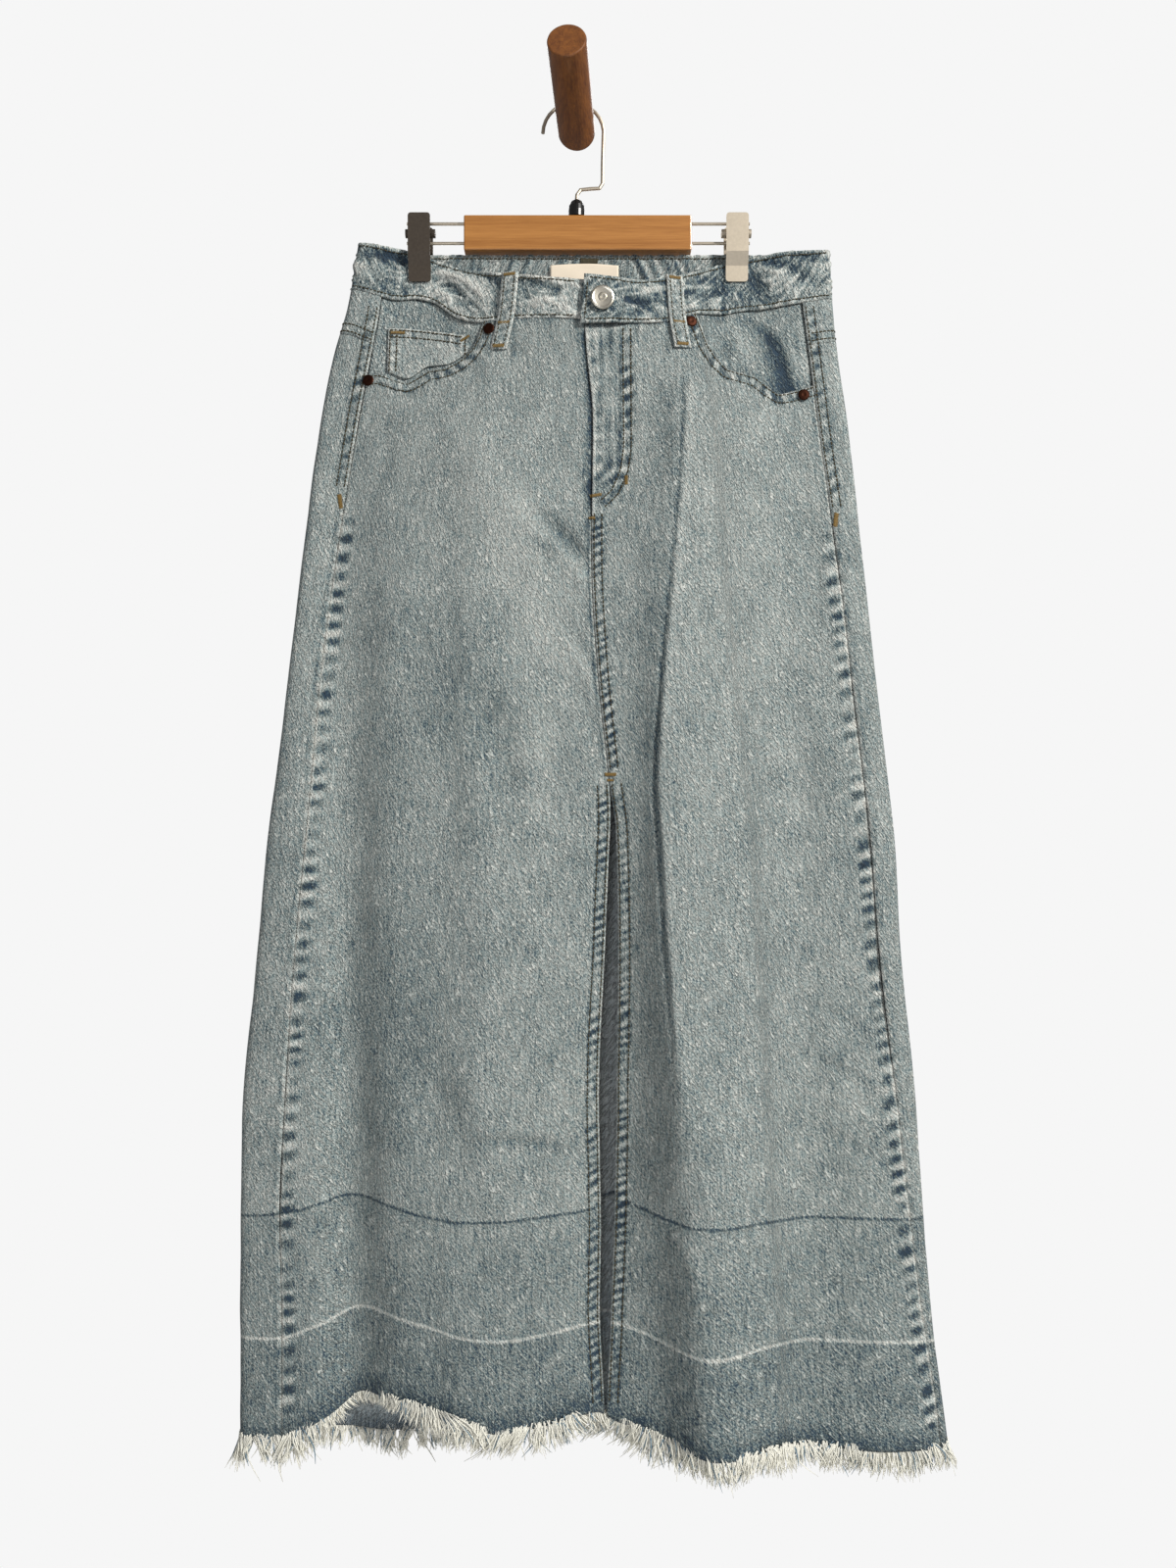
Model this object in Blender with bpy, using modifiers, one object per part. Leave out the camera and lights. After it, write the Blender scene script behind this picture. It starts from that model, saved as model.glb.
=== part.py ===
"""Denim maxi skirt held flat by a clip hanger that hangs from a wooden wall peg.

Origin: centre of the peg's flat back face, on the wall. X right, Y into the wall, Z up.
The cloth is one flattened tube, skin(around, z): around runs 0 to 1 once round it, from the
right fold along the front to the left fold (0.5) and back behind. Each cloth piece is a patch
of that tube, laid so far outside it. Sizes are in millimetres, and MM turns them into metres.
"""

import math

import bmesh
import bpy
import numpy as np
from mathutils import Matrix, Vector

MM = 0.001

# Cloth
CLOTH = 1.2
BAND_CLOTH = 3.0
BAND_LAY = -1.2
LOOP_CLOTH = 1.5
LABEL_CLOTH = 1.0
LAYER_GAP = 0.3
HALF_SEAM = 0.15
FRINGE_LENGTH = 18.0
SLIT_HEM_WIDTH = 10.0
POCKET_TUCK = 7.0
BACK_BAND_TOP = -105.0
BACK_SEAM = -143.0
LOOP_WIDTH = 12.0
BUTTON_RADIUS = 9.4
RIVET_RADIUS = 4.6

# Hanger, in the plane y = HANGER_Y, and the peg
HANGER_Y = -11.0
PINCH = 2.0
CLIP_X = (-125.4, 128.6)
CLIP_WIDTH = 17.8
BAR_SIZE = (182.4, 12.0, 28.0)
BAR_CENTRE = (1.2, -89.6)
ROD_Z = (-80.3, -96.0)
ROD_RADIUS = 1.25
WIRE_RADIUS = 1.5
HOOK_RADIUS = 24.6
HOOK_CENTRE = (-2.5, -6.0, -4.8)
PEG_RADIUS = 15.0
PEG_LENGTH = 86.0
PEG_TILT = 15.5
PEG_SWING = -4.5

# One row for each height: the folds at the sides, the side seams, the centre line and half
# of the slit's gap.
SHAPE_COLUMNS = ("z", "left", "right", "left_seam", "right_seam", "centre", "slit")
SHAPE = [
    (-1075, -265, 296, -230, 289, 23, 0.8),
    (-1035, -265, 291, -231, 285, 23, 1.0),
    (-955, -265, 281, -231, 273, 23, 4.4),
    (-870, -265, 274, -233, 262, 25, 5.4),
    (-780, -263, 268, -229, 252, 25, 7.0),
    (-655, -251, 256, -221, 238, 28, 5.0),
    (-565, -243, 251, -213, 231, 29, 2.2),
    (-530, -238, 247, -210, 227, 26, 0.25),
    (-455, -229, 238, -204, 218, 18, 0.25),
    (-345, -216, 226, -190, 205, 12, 0.25),
    (-245, -203, 215, -173, 191, 13, 0.25),
    (-190, -193, 208, -163, 185, 8, 0.25),
    (-143, -181, 204, -156, 180, 5, 0.25),
    (-95, -173, 201, -152, 177, 5, 0.25),
]

# Depth of the open tube below the waist: y of the front and of the back.
DEPTH_COLUMNS = ("z", "front", "back")
DEPTH = [
    (-1075, -40, -5),
    (-870, -38, -5),
    (-530, -35, -5),
    (-300, -33, -4),
    (-200, -32, -5),
]

# Long folds that hang in the cloth: three heights, the place and the rise at each (a rise
# is towards the viewer), and how far the fold reaches to its left and right.
FOLDS = [
    {"side": "front", "z": (-210, -560, -1060), "x": (-184, -186, -174), "rise": (-5, -17, -27),
     "left": 20, "right": 29},
    {"side": "front", "z": (-170, -560, -1060), "x": (-100, -70, -88), "rise": (1, 7, 7),
     "left": 26, "right": 40},
    {"side": "front", "z": (-180, -560, -1060), "x": (84, 77, 108), "rise": (4, 13, 29),
     "left": 26, "right": 50},
    {"side": "front", "z": (-530, -700, -1060), "x": (29, 29, 26), "rise": (0, -8, -14),
     "left": 30, "right": 26},
    {"side": "front", "z": (-210, -560, -1060), "x": (172, 176, 188), "rise": (-3, -4, -5),
     "left": 22, "right": 26},
    {"side": "back", "z": (-190, -560, -1060), "x": (-80, -84, -92), "rise": (1, 5, 9),
     "left": 30, "right": 26},
    {"side": "back", "z": (-190, -560, -1060), "x": (64, 76, 88), "rise": (2, 6, 10),
     "left": 24, "right": 34},
]

# Front waistband: height of its top edge and of its lower seam, on the left part and on the
# right part that laps over it.
BAND_COLUMNS = ("x", "top", "seam")
SEAM_LEVEL = -143.0
LEFT_BAND = [
    (-181, -98, -135), (-157, -101, -141), (-143, -103, -143), (-131, -106, -142),
    (-117, -111, -144), (-91, -120, -160), (-72, -125, -165), (-34, -132, -165),
    (-10, -135, -166), (27, -138, -168),
]
RIGHT_BAND = [
    (4, -133, -171), (40, -135, -169), (74, -129, -165), (99, -121, -156),
    (118, -114, -155), (134, -111, -152), (151, -108, -151), (204, -104, -143),
]
OVERLAP = 22.0

# Pocket openings, from the side seam to the waistband.
POCKET_COLUMNS = ("x", "z")
LEFT_POCKET = [
    (-170, -206), (-157, -205), (-134, -213), (-117, -203), (-103, -202), (-91, -196),
    (-82, -187), (-77, -177), (-73, -163),
]
RIGHT_POCKET = [
    (95, -156), (100, -169), (104, -182), (112, -195), (120, -204), (142, -210),
    (152, -218), (160, -223), (172, -220), (192, -214),
]
COIN_POCKET_LEFT = -150.0
COIN_POCKET_RIGHT = -86.0
COIN_POCKET_TOP = -167.0

# Lower edges: the front hem at x, the back hem and the seam below the back yoke at a
# fraction of the way from the left side seam round to the right one.
HEM_COLUMNS = ("x", "z")
HEM = [
    (-270, -1046), (-235, -1046), (-200, -1030), (-165, -1016), (-125, -1018), (-90, -1026),
    (-57, -1036), (-15, -1031), (15, -1026), (32, -1034), (60, -1040), (105, -1044),
    (150, -1045), (200, -1051), (300, -1054),
]
BACK_COLUMNS = ("fraction", "hem", "yoke")
BACK_EDGES = [
    (0.0, -1046, -181), (0.06, -1047, -172), (0.19, -1049, -185), (0.26, -1054, -191),
    (0.34, -1048, -198), (0.5, -1037, -212), (0.75, -1042, -192), (0.94, -1053, -178),
    (1.0, -1054, -182),
]

BELT_LOOPS = [
    {"name": "belt_loop_left", "x": (-51, -55, -61), "z": (-128, -165, -189)},
    {"name": "belt_loop_right", "x": (77, 80, 84), "z": (-128, -164, -187)},
]
RIVETS = [
    {"name": "rivet_left_side", "x": -164.5, "z": -211.5},
    {"name": "rivet_left_inner", "x": -68.5, "z": -171.5},
    {"name": "rivet_right_inner", "x": 91.0, "z": -164.0},
    {"name": "rivet_right_side", "x": 180.0, "z": -223.5},
]
BUTTON_PLACE = (20.0, -152.0)
LABEL_X = (-21.0, 34.0)
LABEL_Z = (-134.0, -114.0)
ZIP_WIDTH = 26.0
ZIP_Z = (-318.0, -186.0)

# Base colour (linear), roughness and metallic of each material
MATERIALS = {
    "denim": ((0.29, 0.37, 0.41), 0.85, 0.0),
    "denim_inside": ((0.36, 0.41, 0.43), 0.88, 0.0),
    "fringe_cotton": ((0.62, 0.63, 0.6), 0.9, 0.0),
    "label_cotton": ((0.75, 0.66, 0.53), 0.8, 0.0),
    "nickel": ((0.62, 0.6, 0.56), 0.3, 1.0),
    "copper": ((0.25, 0.09, 0.05), 0.4, 1.0),
    "zip_tape": ((0.05, 0.07, 0.1), 0.8, 0.0),
    "brass": ((0.55, 0.4, 0.16), 0.35, 1.0),
    "peg_wood": ((0.3, 0.13, 0.045), 0.5, 0.0),
    "bar_wood": ((0.42, 0.18, 0.05), 0.45, 0.0),
    "black_plastic": ((0.01, 0.01, 0.01), 0.35, 0.0),
    "steel": ((0.5, 0.5, 0.5), 0.25, 1.0),
}


def column(rows, names, name):
    return np.array([row[names.index(name)] for row in rows], float)


def curve(at, xs, ys):
    """A smooth line through the points, with no overshoot where they level out."""
    order = np.argsort(xs)
    xs, ys = np.asarray(xs, float)[order], np.asarray(ys, float)[order]
    steps = np.diff(xs)
    rises = np.diff(ys) / steps
    slopes = np.concatenate([[rises[0]], np.zeros(len(xs) - 2), [rises[-1]]])
    same_way = rises[:-1] * rises[1:] > 0
    weight = (steps[1:] * rises[:-1] + steps[:-1] * rises[1:]) / (steps[1:] + steps[:-1])
    limit = 2 * np.minimum(abs(rises[:-1]), abs(rises[1:]))
    slopes[1:-1] = np.where(same_way, np.sign(weight) * np.minimum(abs(weight), limit), 0)
    at = np.clip(at, xs[0], xs[-1])
    i = np.clip(np.searchsorted(xs, at) - 1, 0, len(xs) - 2)
    t = (at - xs[i]) / steps[i]
    into = (3 - 2 * t) * t * t
    bend = t * (1 - t) * steps[i] * ((1 - t) * slopes[i] - t * slopes[i + 1])
    return ys[i] * (1 - into) + ys[i + 1] * into + bend


def shape(name, z):
    return curve(z, column(SHAPE, SHAPE_COLUMNS, "z"), column(SHAPE, SHAPE_COLUMNS, name))


def ease(value, start, end):
    t = np.clip((value - start) / (end - start), 0, 1)
    return t * t * (3 - 2 * t)


# The tube's section: x goes with the cosine of an angle, and the depth with its sine, held
# near full between the side folds by a power below one.
FULLNESS = 0.42

# Shared grid lines: stations once round the tube, and heights of rows, closer at the hips.
STATIONS = 96
ROW_HEIGHTS = np.concatenate([np.arange(-1020, -420, 60.0), np.arange(-420, -140, 30.0)])


def loop_table():
    """Angles at equal distances round a typical section, so that patches have even faces."""
    angle = np.linspace(0, 2 * math.pi, 4001)
    x = 225 * np.cos(angle)
    y = -15 * np.sign(np.sin(angle)) * abs(np.sin(angle)) ** FULLNESS
    length = np.concatenate([[0], np.cumsum(np.hypot(np.diff(x), np.diff(y)))])
    return length / length[-1], angle


LOOP_AROUND, LOOP_ANGLE = loop_table()


def fold_rise(side, x, z):
    """How far the folds bring the cloth towards the viewer."""
    total = np.zeros_like(x + z, dtype=float)
    for fold in FOLDS:
        if fold["side"] != side:
            continue
        away = x - curve(z, fold["z"], fold["x"])
        reach = np.where(away < 0, fold["left"], fold["right"])
        height = curve(z, fold["z"], fold["rise"])
        total += height * np.exp(-((away / reach) ** 2))
    return total


def waist_depths(x):
    """y of the front and back at the waist: pinched at the clips, bowed out between them."""
    half_clip = CLIP_WIDTH / 2 + 1
    between = np.clip((x - CLIP_X[0] - half_clip) / (CLIP_X[1] - CLIP_X[0] - 2 * half_clip), 0, 1)
    beyond = np.maximum(CLIP_X[0] - half_clip - x, x - CLIP_X[1] - half_clip)
    bow = 24 * np.sin(math.pi * between) ** 1.3
    side_bulge = 7 * ease(beyond, 0, 36)
    return HANGER_Y - PINCH - bow - side_bulge, HANGER_Y + PINCH + 0.5 * side_bulge


def depths(x, z):
    heights = column(DEPTH, DEPTH_COLUMNS, "z")
    front = curve(z, heights, column(DEPTH, DEPTH_COLUMNS, "front"))
    back = curve(z, heights, column(DEPTH, DEPTH_COLUMNS, "back"))
    waist_front, waist_back = waist_depths(x)
    open_front = ease(z, -132, -250)
    open_back = ease(z, -150, -270)
    front = front - fold_rise("front", x, z)
    back = back - fold_rise("back", x, z)
    return (
        waist_front * (1 - open_front) + front * open_front,
        waist_back * (1 - open_back) + back * open_back,
    )


def base(around, z):
    angle = np.interp(around % 1.0, LOOP_AROUND, LOOP_ANGLE)
    left, right = shape("left", z), shape("right", z)
    x = (left + right) / 2 + (right - left) / 2 * np.cos(angle)
    front, back = depths(x, z)
    swell = np.sign(np.sin(angle)) * abs(np.sin(angle)) ** FULLNESS
    y = (front + back) / 2 + (front - back) / 2 * swell
    return np.stack([x, y, z + np.zeros_like(x)], axis=-1)


def outward(around, z):
    along = base(around + 0.0008, z) - base(around - 0.0008, z)
    up = base(around, z + 1.0) - base(around, z - 1.0)
    normal = np.cross(up, along)
    return normal / np.linalg.norm(normal, axis=-1, keepdims=True)


def skin(around, z, lay=0.0):
    lay = np.asarray(lay, float) + np.zeros_like(around)
    return base(around, z) + outward(around, z) * lay[..., None]


def front_at(x, z):
    """Where on the loop the front has this x."""
    left, right = shape("left", z), shape("right", z)
    cosine = np.clip((x - (left + right) / 2) / ((right - left) / 2), -1, 1)
    return np.interp(np.arccos(cosine), LOOP_ANGLE, LOOP_AROUND)


def back_at(x, z):
    return 1.0 - front_at(x, z)


def front_x(around, z):
    return base(around, z)[..., 0]


def make_material(name):
    colour, roughness, metallic = MATERIALS[name]
    material = bpy.data.materials.get(name) or bpy.data.materials.new(name)
    material.use_nodes = True
    shader = material.node_tree.nodes["Principled BSDF"]
    shader.inputs["Base Color"].default_value = (*colour, 1.0)
    shader.inputs["Roughness"].default_value = roughness
    shader.inputs["Metallic"].default_value = metallic
    material.diffuse_color = (*colour, 1.0)
    return material


def add_object(name, mesh, material, collection):
    obj = bpy.data.objects.new(name, mesh)
    obj.data.materials.append(make_material(material))
    collection.objects.link(obj)
    return obj


def add_sheet(name, points, thickness, material, collection):
    """An open grid of points (rows, columns, 3), thickened on the side its faces look to."""
    rows, columns = points.shape[:2]
    mesh = bpy.data.meshes.new(name)
    index = np.arange(rows * columns).reshape(rows, columns)
    quads = np.stack([index[:-1, :-1], index[1:, :-1], index[1:, 1:], index[:-1, 1:]], axis=-1)
    mesh.from_pydata((points.reshape(-1, 3) * MM).tolist(), [], quads.reshape(-1, 4).tolist())
    mesh.shade_smooth()
    obj = add_object(name, mesh, material, collection)
    solidify = obj.modifiers.new("Thickness", "SOLIDIFY")
    solidify.thickness = thickness * MM
    solidify.offset = 1.0
    solidify.use_even_offset = True
    return obj


def add_shell(name, inner, outer, material, collection):
    """A closed wall between two grids of points (rows, columns, 3), the outer one outside."""
    rows, columns = inner.shape[:2]
    index = np.arange(rows * columns).reshape(rows, columns)
    quads = np.stack([index[:-1, :-1], index[1:, :-1], index[1:, 1:], index[:-1, 1:]], axis=-1)
    quads = quads.reshape(-1, 4)
    rim = np.concatenate([index[:-1, 0], index[-1, :-1], index[:0:-1, -1], index[0, :0:-1]])
    after = np.roll(rim, -1)
    count = rows * columns
    edge = np.stack([rim, rim + count, after + count, after], axis=-1)
    faces = np.concatenate([quads[:, ::-1] + count, quads, edge])
    points = np.concatenate([inner.reshape(-1, 3), outer.reshape(-1, 3)]) * MM
    mesh = bpy.data.meshes.new(name)
    mesh.from_pydata(points.tolist(), [], faces.tolist())
    mesh.shade_smooth()
    mesh.set_sharp_from_angle(angle=math.radians(50))
    return add_object(name, mesh, material, collection)


def shared_columns(where):
    """u of each column, at stations all pieces share at their top edge, so that seams match."""
    fine = np.linspace(0, 1, 801)
    around = where(fine, np.ones_like(fine))[0]
    order = np.argsort(around)
    first, last = around[order[0]] * STATIONS, around[order[-1]] * STATIONS
    stations = np.arange(math.ceil(first + 0.3), math.floor(last - 0.3) + 1) / STATIONS
    return np.sort(np.concatenate([[0, 1], np.interp(stations, around[order], fine[order])]))


def shared_rows(where, side):
    """v of each row, at heights that all pieces share along the side seams."""
    low, high = (float(where(np.array([side]), np.array([v]))[1][0]) for v in (0.0, 1.0))
    heights = ROW_HEIGHTS[(ROW_HEIGHTS > low + 10) & (ROW_HEIGHTS < high - 8)]
    return np.concatenate([[0], (heights - low) / (high - low), [1]])


def add_patch(name, columns, rows, where, lay, thickness, material, collection):
    """A cloth piece. where(u, v) gives around and z, u running along it and v up it.

    columns and rows are the u and v of the grid's lines, or just how many cells there are.
    """
    if isinstance(columns, int):
        columns = np.linspace(0, 1, columns + 1)
    if isinstance(rows, int):
        rows = np.linspace(0, 1, rows + 1)
    u, v = np.meshgrid(columns, rows, indexing="ij")
    around, z = where(u, v)
    if around[-1, 0] < around[0, 0]:
        around, z = around[::-1], z[::-1]
    distance = lay(around, z) if callable(lay) else lay
    inner = skin(around, z, distance)
    return add_shell(name, inner, skin(around, z, distance + thickness), material, collection)


def band_edge(rows, name, around):
    """Top edge or lower seam of the front waistband, read at one level all along it."""
    x = front_x(around, SEAM_LEVEL)
    return curve(x, column(rows, BAND_COLUMNS, "x"), column(rows, BAND_COLUMNS, name))


def pocket_edge(rows, x):
    return curve(x, column(rows, POCKET_COLUMNS, "x"), column(rows, POCKET_COLUMNS, "z"))


def hem_at(x):
    return curve(x, column(HEM, HEM_COLUMNS, "x"), column(HEM, HEM_COLUMNS, "z"))


def back_edge(name, fraction):
    fractions = column(BACK_EDGES, BACK_COLUMNS, "fraction")
    return curve(fraction, fractions, column(BACK_EDGES, BACK_COLUMNS, name))


def between(first, second, share):
    return first + (second - first) * share


def left_front_x(u, z):
    """From the left side seam, u = 0, to the centre line or the slit, u = 1."""
    return between(shape("left_seam", z) + HALF_SEAM, shape("centre", z) - shape("slit", z), u)


def right_front_x(u, z):
    return between(shape("centre", z) + shape("slit", z), shape("right_seam", z) - HALF_SEAM, u)


def panel_top(around, x, band_rows, pocket_rows, pocket_range):
    """Under the waistband, and cut down along the pocket opening."""
    top = band_edge(band_rows, "seam", around) - HALF_SEAM
    cut = pocket_edge(pocket_rows, x)
    in_pocket = (x >= pocket_range[0]) & (x <= pocket_range[1])
    return np.where(in_pocket, np.minimum(top, cut), top)


def front_where(x_at, top_at):
    """around and z for a front piece whose columns lean with its two sides."""

    def where(u, v):
        top_z = settle(lambda z: top_at(front_at(x_at(u, z), z), x_at(u, z)))
        low_z = hem_at(x_at(u, -1040.0))
        z = between(low_z, top_z, v)
        return front_at(x_at(u, z), z), z

    return where


def settle(next_height):
    """The height at which an edge meets a column that leans, found by repeating the step."""
    z = next_height(SEAM_LEVEL)
    for _ in range(6):
        z = next_height(z)
    return z


def left_panel_top(around, x):
    return panel_top(around, x, LEFT_BAND, LEFT_POCKET, (-171, -73))


def right_panel_top(around, x):
    return panel_top(around, x, RIGHT_BAND, RIGHT_POCKET, (95, 193))


def back_around(fraction, z):
    """Round the back from just outside the left side seam to just outside the right one."""
    start = front_at(shape("left_seam", z) - HALF_SEAM, z)
    end = 1.0 + front_at(shape("right_seam", z) + HALF_SEAM, z)
    return between(start, end, fraction)


def behind_share(turn):
    """0 on the front, and 1 behind once clear of the side folds."""
    return ease(turn, 0.5, 0.57) * ease(turn, 1.0, 0.93)


def loop_edge(name, back_level, around):
    """Top edge or lower seam of the whole waistband: the front's, then level behind."""
    turn = around % 1.0
    left = band_edge(LEFT_BAND, name, turn)
    right = band_edge(RIGHT_BAND, name, turn)
    front = np.where(front_x(turn, SEAM_LEVEL) < 0, left, right)
    return between(front, back_level, behind_share(turn))


def back_where(u, v):
    z = between(back_edge("hem", u), back_edge("yoke", u) - HALF_SEAM, v)
    return back_around(u, z), z


def yoke_where(u, v):
    low = back_edge("yoke", u) + HALF_SEAM
    high = settle(lambda z: loop_edge("seam", BACK_SEAM, back_around(u, z))) - HALF_SEAM
    z = between(low, high, v)
    return back_around(u, z), z


def build_panels(collection):
    left = front_where(left_front_x, left_panel_top)
    right = front_where(right_front_x, right_panel_top)
    add_patch(
        "front_panel_left", shared_columns(left), shared_rows(left, 0), left, 0.0, CLOTH,
        "denim", collection,
    )
    add_patch(
        "front_panel_right", shared_columns(right), shared_rows(right, 1), right, 0.0, CLOTH,
        "denim", collection,
    )
    columns = shared_columns(yoke_where)
    add_patch(
        "back_panel", columns, shared_rows(back_where, 0), back_where, 0.0, CLOTH, "denim", collection
    )
    add_patch("back_yoke", columns, 2, yoke_where, 0.0, CLOTH, "denim", collection)


def build_slit_hems(collection):
    """The edges of the slit, turned in and stitched behind the panels."""

    def turned(edge_sign):
        def where(u, v):
            z = between(hem_at(shape("centre", -1040.0) + edge_sign * 5) + 1, -536.0, v)
            edge = shape("centre", z) + edge_sign * (shape("slit", z) + 0.3)
            low, high = sorted((0.0, edge_sign * SLIT_HEM_WIDTH))
            return front_at(edge + between(low, high, u), z), z

        return where

    for name, sign in (("slit_hem_left", -1), ("slit_hem_right", 1)):
        lay = -CLOTH - 3 * LAYER_GAP
        add_patch(name, 1, 16, turned(sign), lay, CLOTH, "denim_inside", collection)


def right_band_lay(around, z):
    """The right waistband lies on the left one where they overlap, then comes down to the skin."""
    raised = BAND_CLOTH + LAYER_GAP
    x = front_x(around, z)
    start = shape("centre", -150.0) + OVERLAP + 2
    return BAND_LAY + raised * (1 - ease(x, start, start + 18))


def add_band(name, where, lay, collection):
    add_patch(name, shared_columns(where), 3, where, lay, BAND_CLOTH, "denim", collection)


def build_waistband(collection):
    def band(first, last, top, seam):
        def where(u, v):
            around = between(first, last, u)
            return around, between(seam(around) + HALF_SEAM, top(around), v)

        return where

    centre = shape("centre", -150.0)
    left = band(
        0.4995, front_at(centre + OVERLAP, -150.0),
        lambda around: band_edge(LEFT_BAND, "top", around),
        lambda around: band_edge(LEFT_BAND, "seam", around),
    )
    right = band(
        front_at(centre, -150.0), 0.0005,
        lambda around: band_edge(RIGHT_BAND, "top", around),
        lambda around: band_edge(RIGHT_BAND, "seam", around),
    )
    back = band(
        0.5005, 0.9995,
        lambda around: loop_edge("top", BACK_BAND_TOP, around),
        lambda around: loop_edge("seam", BACK_SEAM, around),
    )
    add_band("waistband_front_left", left, BAND_LAY, collection)
    add_band("waistband_front_right", right, right_band_lay, collection)
    add_band("waistband_back", back, BAND_LAY, collection)


def build_pockets(collection):
    lay = -CLOTH - 2 * LAYER_GAP

    def facing(x_at, band_rows, pocket_rows):
        def where(u, v):
            top_z = settle(lambda z: band_edge(band_rows, "seam", front_at(x_at(u, z), z))) - HALF_SEAM
            low_z = pocket_edge(pocket_rows, x_at(u, -200.0)) - POCKET_TUCK
            z = between(low_z, top_z, v)
            return front_at(x_at(u, z), z), z

        return where

    def left_x(u, z):
        return between(shape("left_seam", z) + HALF_SEAM, LEFT_POCKET[-1][0] + 4.0, u)

    def right_x(u, z):
        return between(RIGHT_POCKET[0][0] - 4.0, shape("right_seam", z) - HALF_SEAM, u)

    def coin_where(u, v):
        x = between(COIN_POCKET_LEFT, COIN_POCKET_RIGHT, u)
        low = pocket_edge(LEFT_POCKET, x) + 3.0
        high = COIN_POCKET_TOP - 9 * u * u
        z = between(low, high, v)
        return front_at(x, z), z

    left = facing(left_x, LEFT_BAND, LEFT_POCKET)
    right = facing(right_x, RIGHT_BAND, RIGHT_POCKET)
    add_patch("pocket_facing_left", shared_columns(left), 4, left, lay, CLOTH, "denim", collection)
    add_patch("pocket_facing_right", shared_columns(right), 4, right, lay, CLOTH, "denim", collection)
    add_patch("coin_pocket", 12, 3, coin_where, 0.0, CLOTH, "denim", collection)


def build_fringe(collection):
    def front_fringe(x_at):
        def where(u, v):
            top = hem_at(x_at(u, -1040.0)) - 2 * HALF_SEAM
            z = between(top - FRINGE_LENGTH, top, v)
            return front_at(x_at(u, z), z), z

        return where

    def back_fringe(u, v):
        top = back_edge("hem", u) - 2 * HALF_SEAM
        z = between(top - FRINGE_LENGTH, top, v)
        return back_around(u, z), z

    pieces = {
        "fringe_front_left": (front_fringe(left_front_x), front_where(left_front_x, left_panel_top)),
        "fringe_front_right": (front_fringe(right_front_x), front_where(right_front_x, right_panel_top)),
        "fringe_back": (back_fringe, yoke_where),
    }
    for name, (where, cloth_above) in pieces.items():
        columns = shared_columns(cloth_above)
        add_patch(name, columns, 1, where, 0.0, CLOTH, "fringe_cotton", collection)


def build_belt_loops(collection):
    lay = BAND_LAY + BAND_CLOTH + LAYER_GAP
    for loop in BELT_LOOPS:
        heights, places = loop["z"], loop["x"]

        def where(u, v, heights=heights, places=places):
            z = between(heights[2], heights[0], v)
            x = curve(z, heights, places) + (u - 0.5) * LOOP_WIDTH
            return front_at(x, z), z

        add_patch(loop["name"], 2, 5, where, lay, LOOP_CLOTH, "denim", collection)

    def behind(u, v):
        z = between(BACK_BAND_TOP - 60.0, BACK_BAND_TOP - 2.0, v)
        x = 9.0 - (u - 0.5) * LOOP_WIDTH
        return back_at(x, z), z

    add_patch("belt_loop_back", 2, 5, behind, lay, LOOP_CLOTH, "denim", collection)


def build_label(collection):
    def where(u, v):
        z = between(LABEL_Z[0], LABEL_Z[1], v)
        return back_at(between(LABEL_X[1], LABEL_X[0], 1 - u), z), z

    lay = BAND_LAY - LAYER_GAP - LABEL_CLOTH
    add_patch("label", 8, 1, where, lay, LABEL_CLOTH, "label_cotton", collection)


def build_zip(collection):
    """The closed zip behind the fly, and its slider behind the button."""
    lay = -2 * CLOTH - LAYER_GAP

    def where(u, v):
        z = between(ZIP_Z[0], ZIP_Z[1], v)
        x = shape("centre", z) + 16 + (u - 0.5) * ZIP_WIDTH
        return front_at(x, z), z

    add_patch("zip", 2, 6, where, lay, CLOTH, "zip_tape", collection)
    height = ZIP_Z[1] - 14.0
    around = front_at(shape("centre", height) + 16, height)
    place = skin(around, height, lay - 2.2)
    add_box("zip_slider", (7.0, 2.4, 11.0), place, 0.6, "brass", collection)


def add_box(name, size, place, bevel, material, collection):
    mesh = bpy.data.meshes.new(name)
    shape_mesh = bmesh.new()
    bmesh.ops.create_cube(shape_mesh, size=1.0)
    bmesh.ops.scale(shape_mesh, vec=Vector(size) * MM, verts=shape_mesh.verts)
    shape_mesh.to_mesh(mesh)
    shape_mesh.free()
    obj = add_object(name, mesh, material, collection)
    obj.location = Vector(place) * MM
    rounding = obj.modifiers.new("Edges", "BEVEL")
    rounding.width = bevel * MM
    rounding.segments = 2
    return obj


def add_turned(name, profile, steps, material, collection):
    """A turned piece: radius and height rows, round its own Z."""
    mesh = bpy.data.meshes.new(name)
    points = [(radius * MM, 0.0, height * MM) for radius, height in profile]
    mesh.from_pydata(points, [(i, i + 1) for i in range(len(points) - 1)], [])
    obj = add_object(name, mesh, material, collection)
    screw = obj.modifiers.new("Turn", "SCREW")
    screw.angle = 2 * math.pi
    screw.steps = steps
    screw.render_steps = steps
    screw.use_merge_vertices = True
    screw.merge_threshold = 1e-6
    screw.use_smooth_shade = True
    screw.use_normal_calculate = True
    return obj


def place_on_front(obj, x, z, lay):
    """Stands a turned piece on the front, its axis along the cloth's outward direction."""
    around = front_at(x, z)
    spot = skin(around, z, lay)
    facing = Vector(outward(around, z))
    turn = facing.to_track_quat("Z", "X").to_matrix().to_4x4()
    obj.matrix_world = Matrix.Translation(Vector(spot) * MM) @ turn


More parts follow.
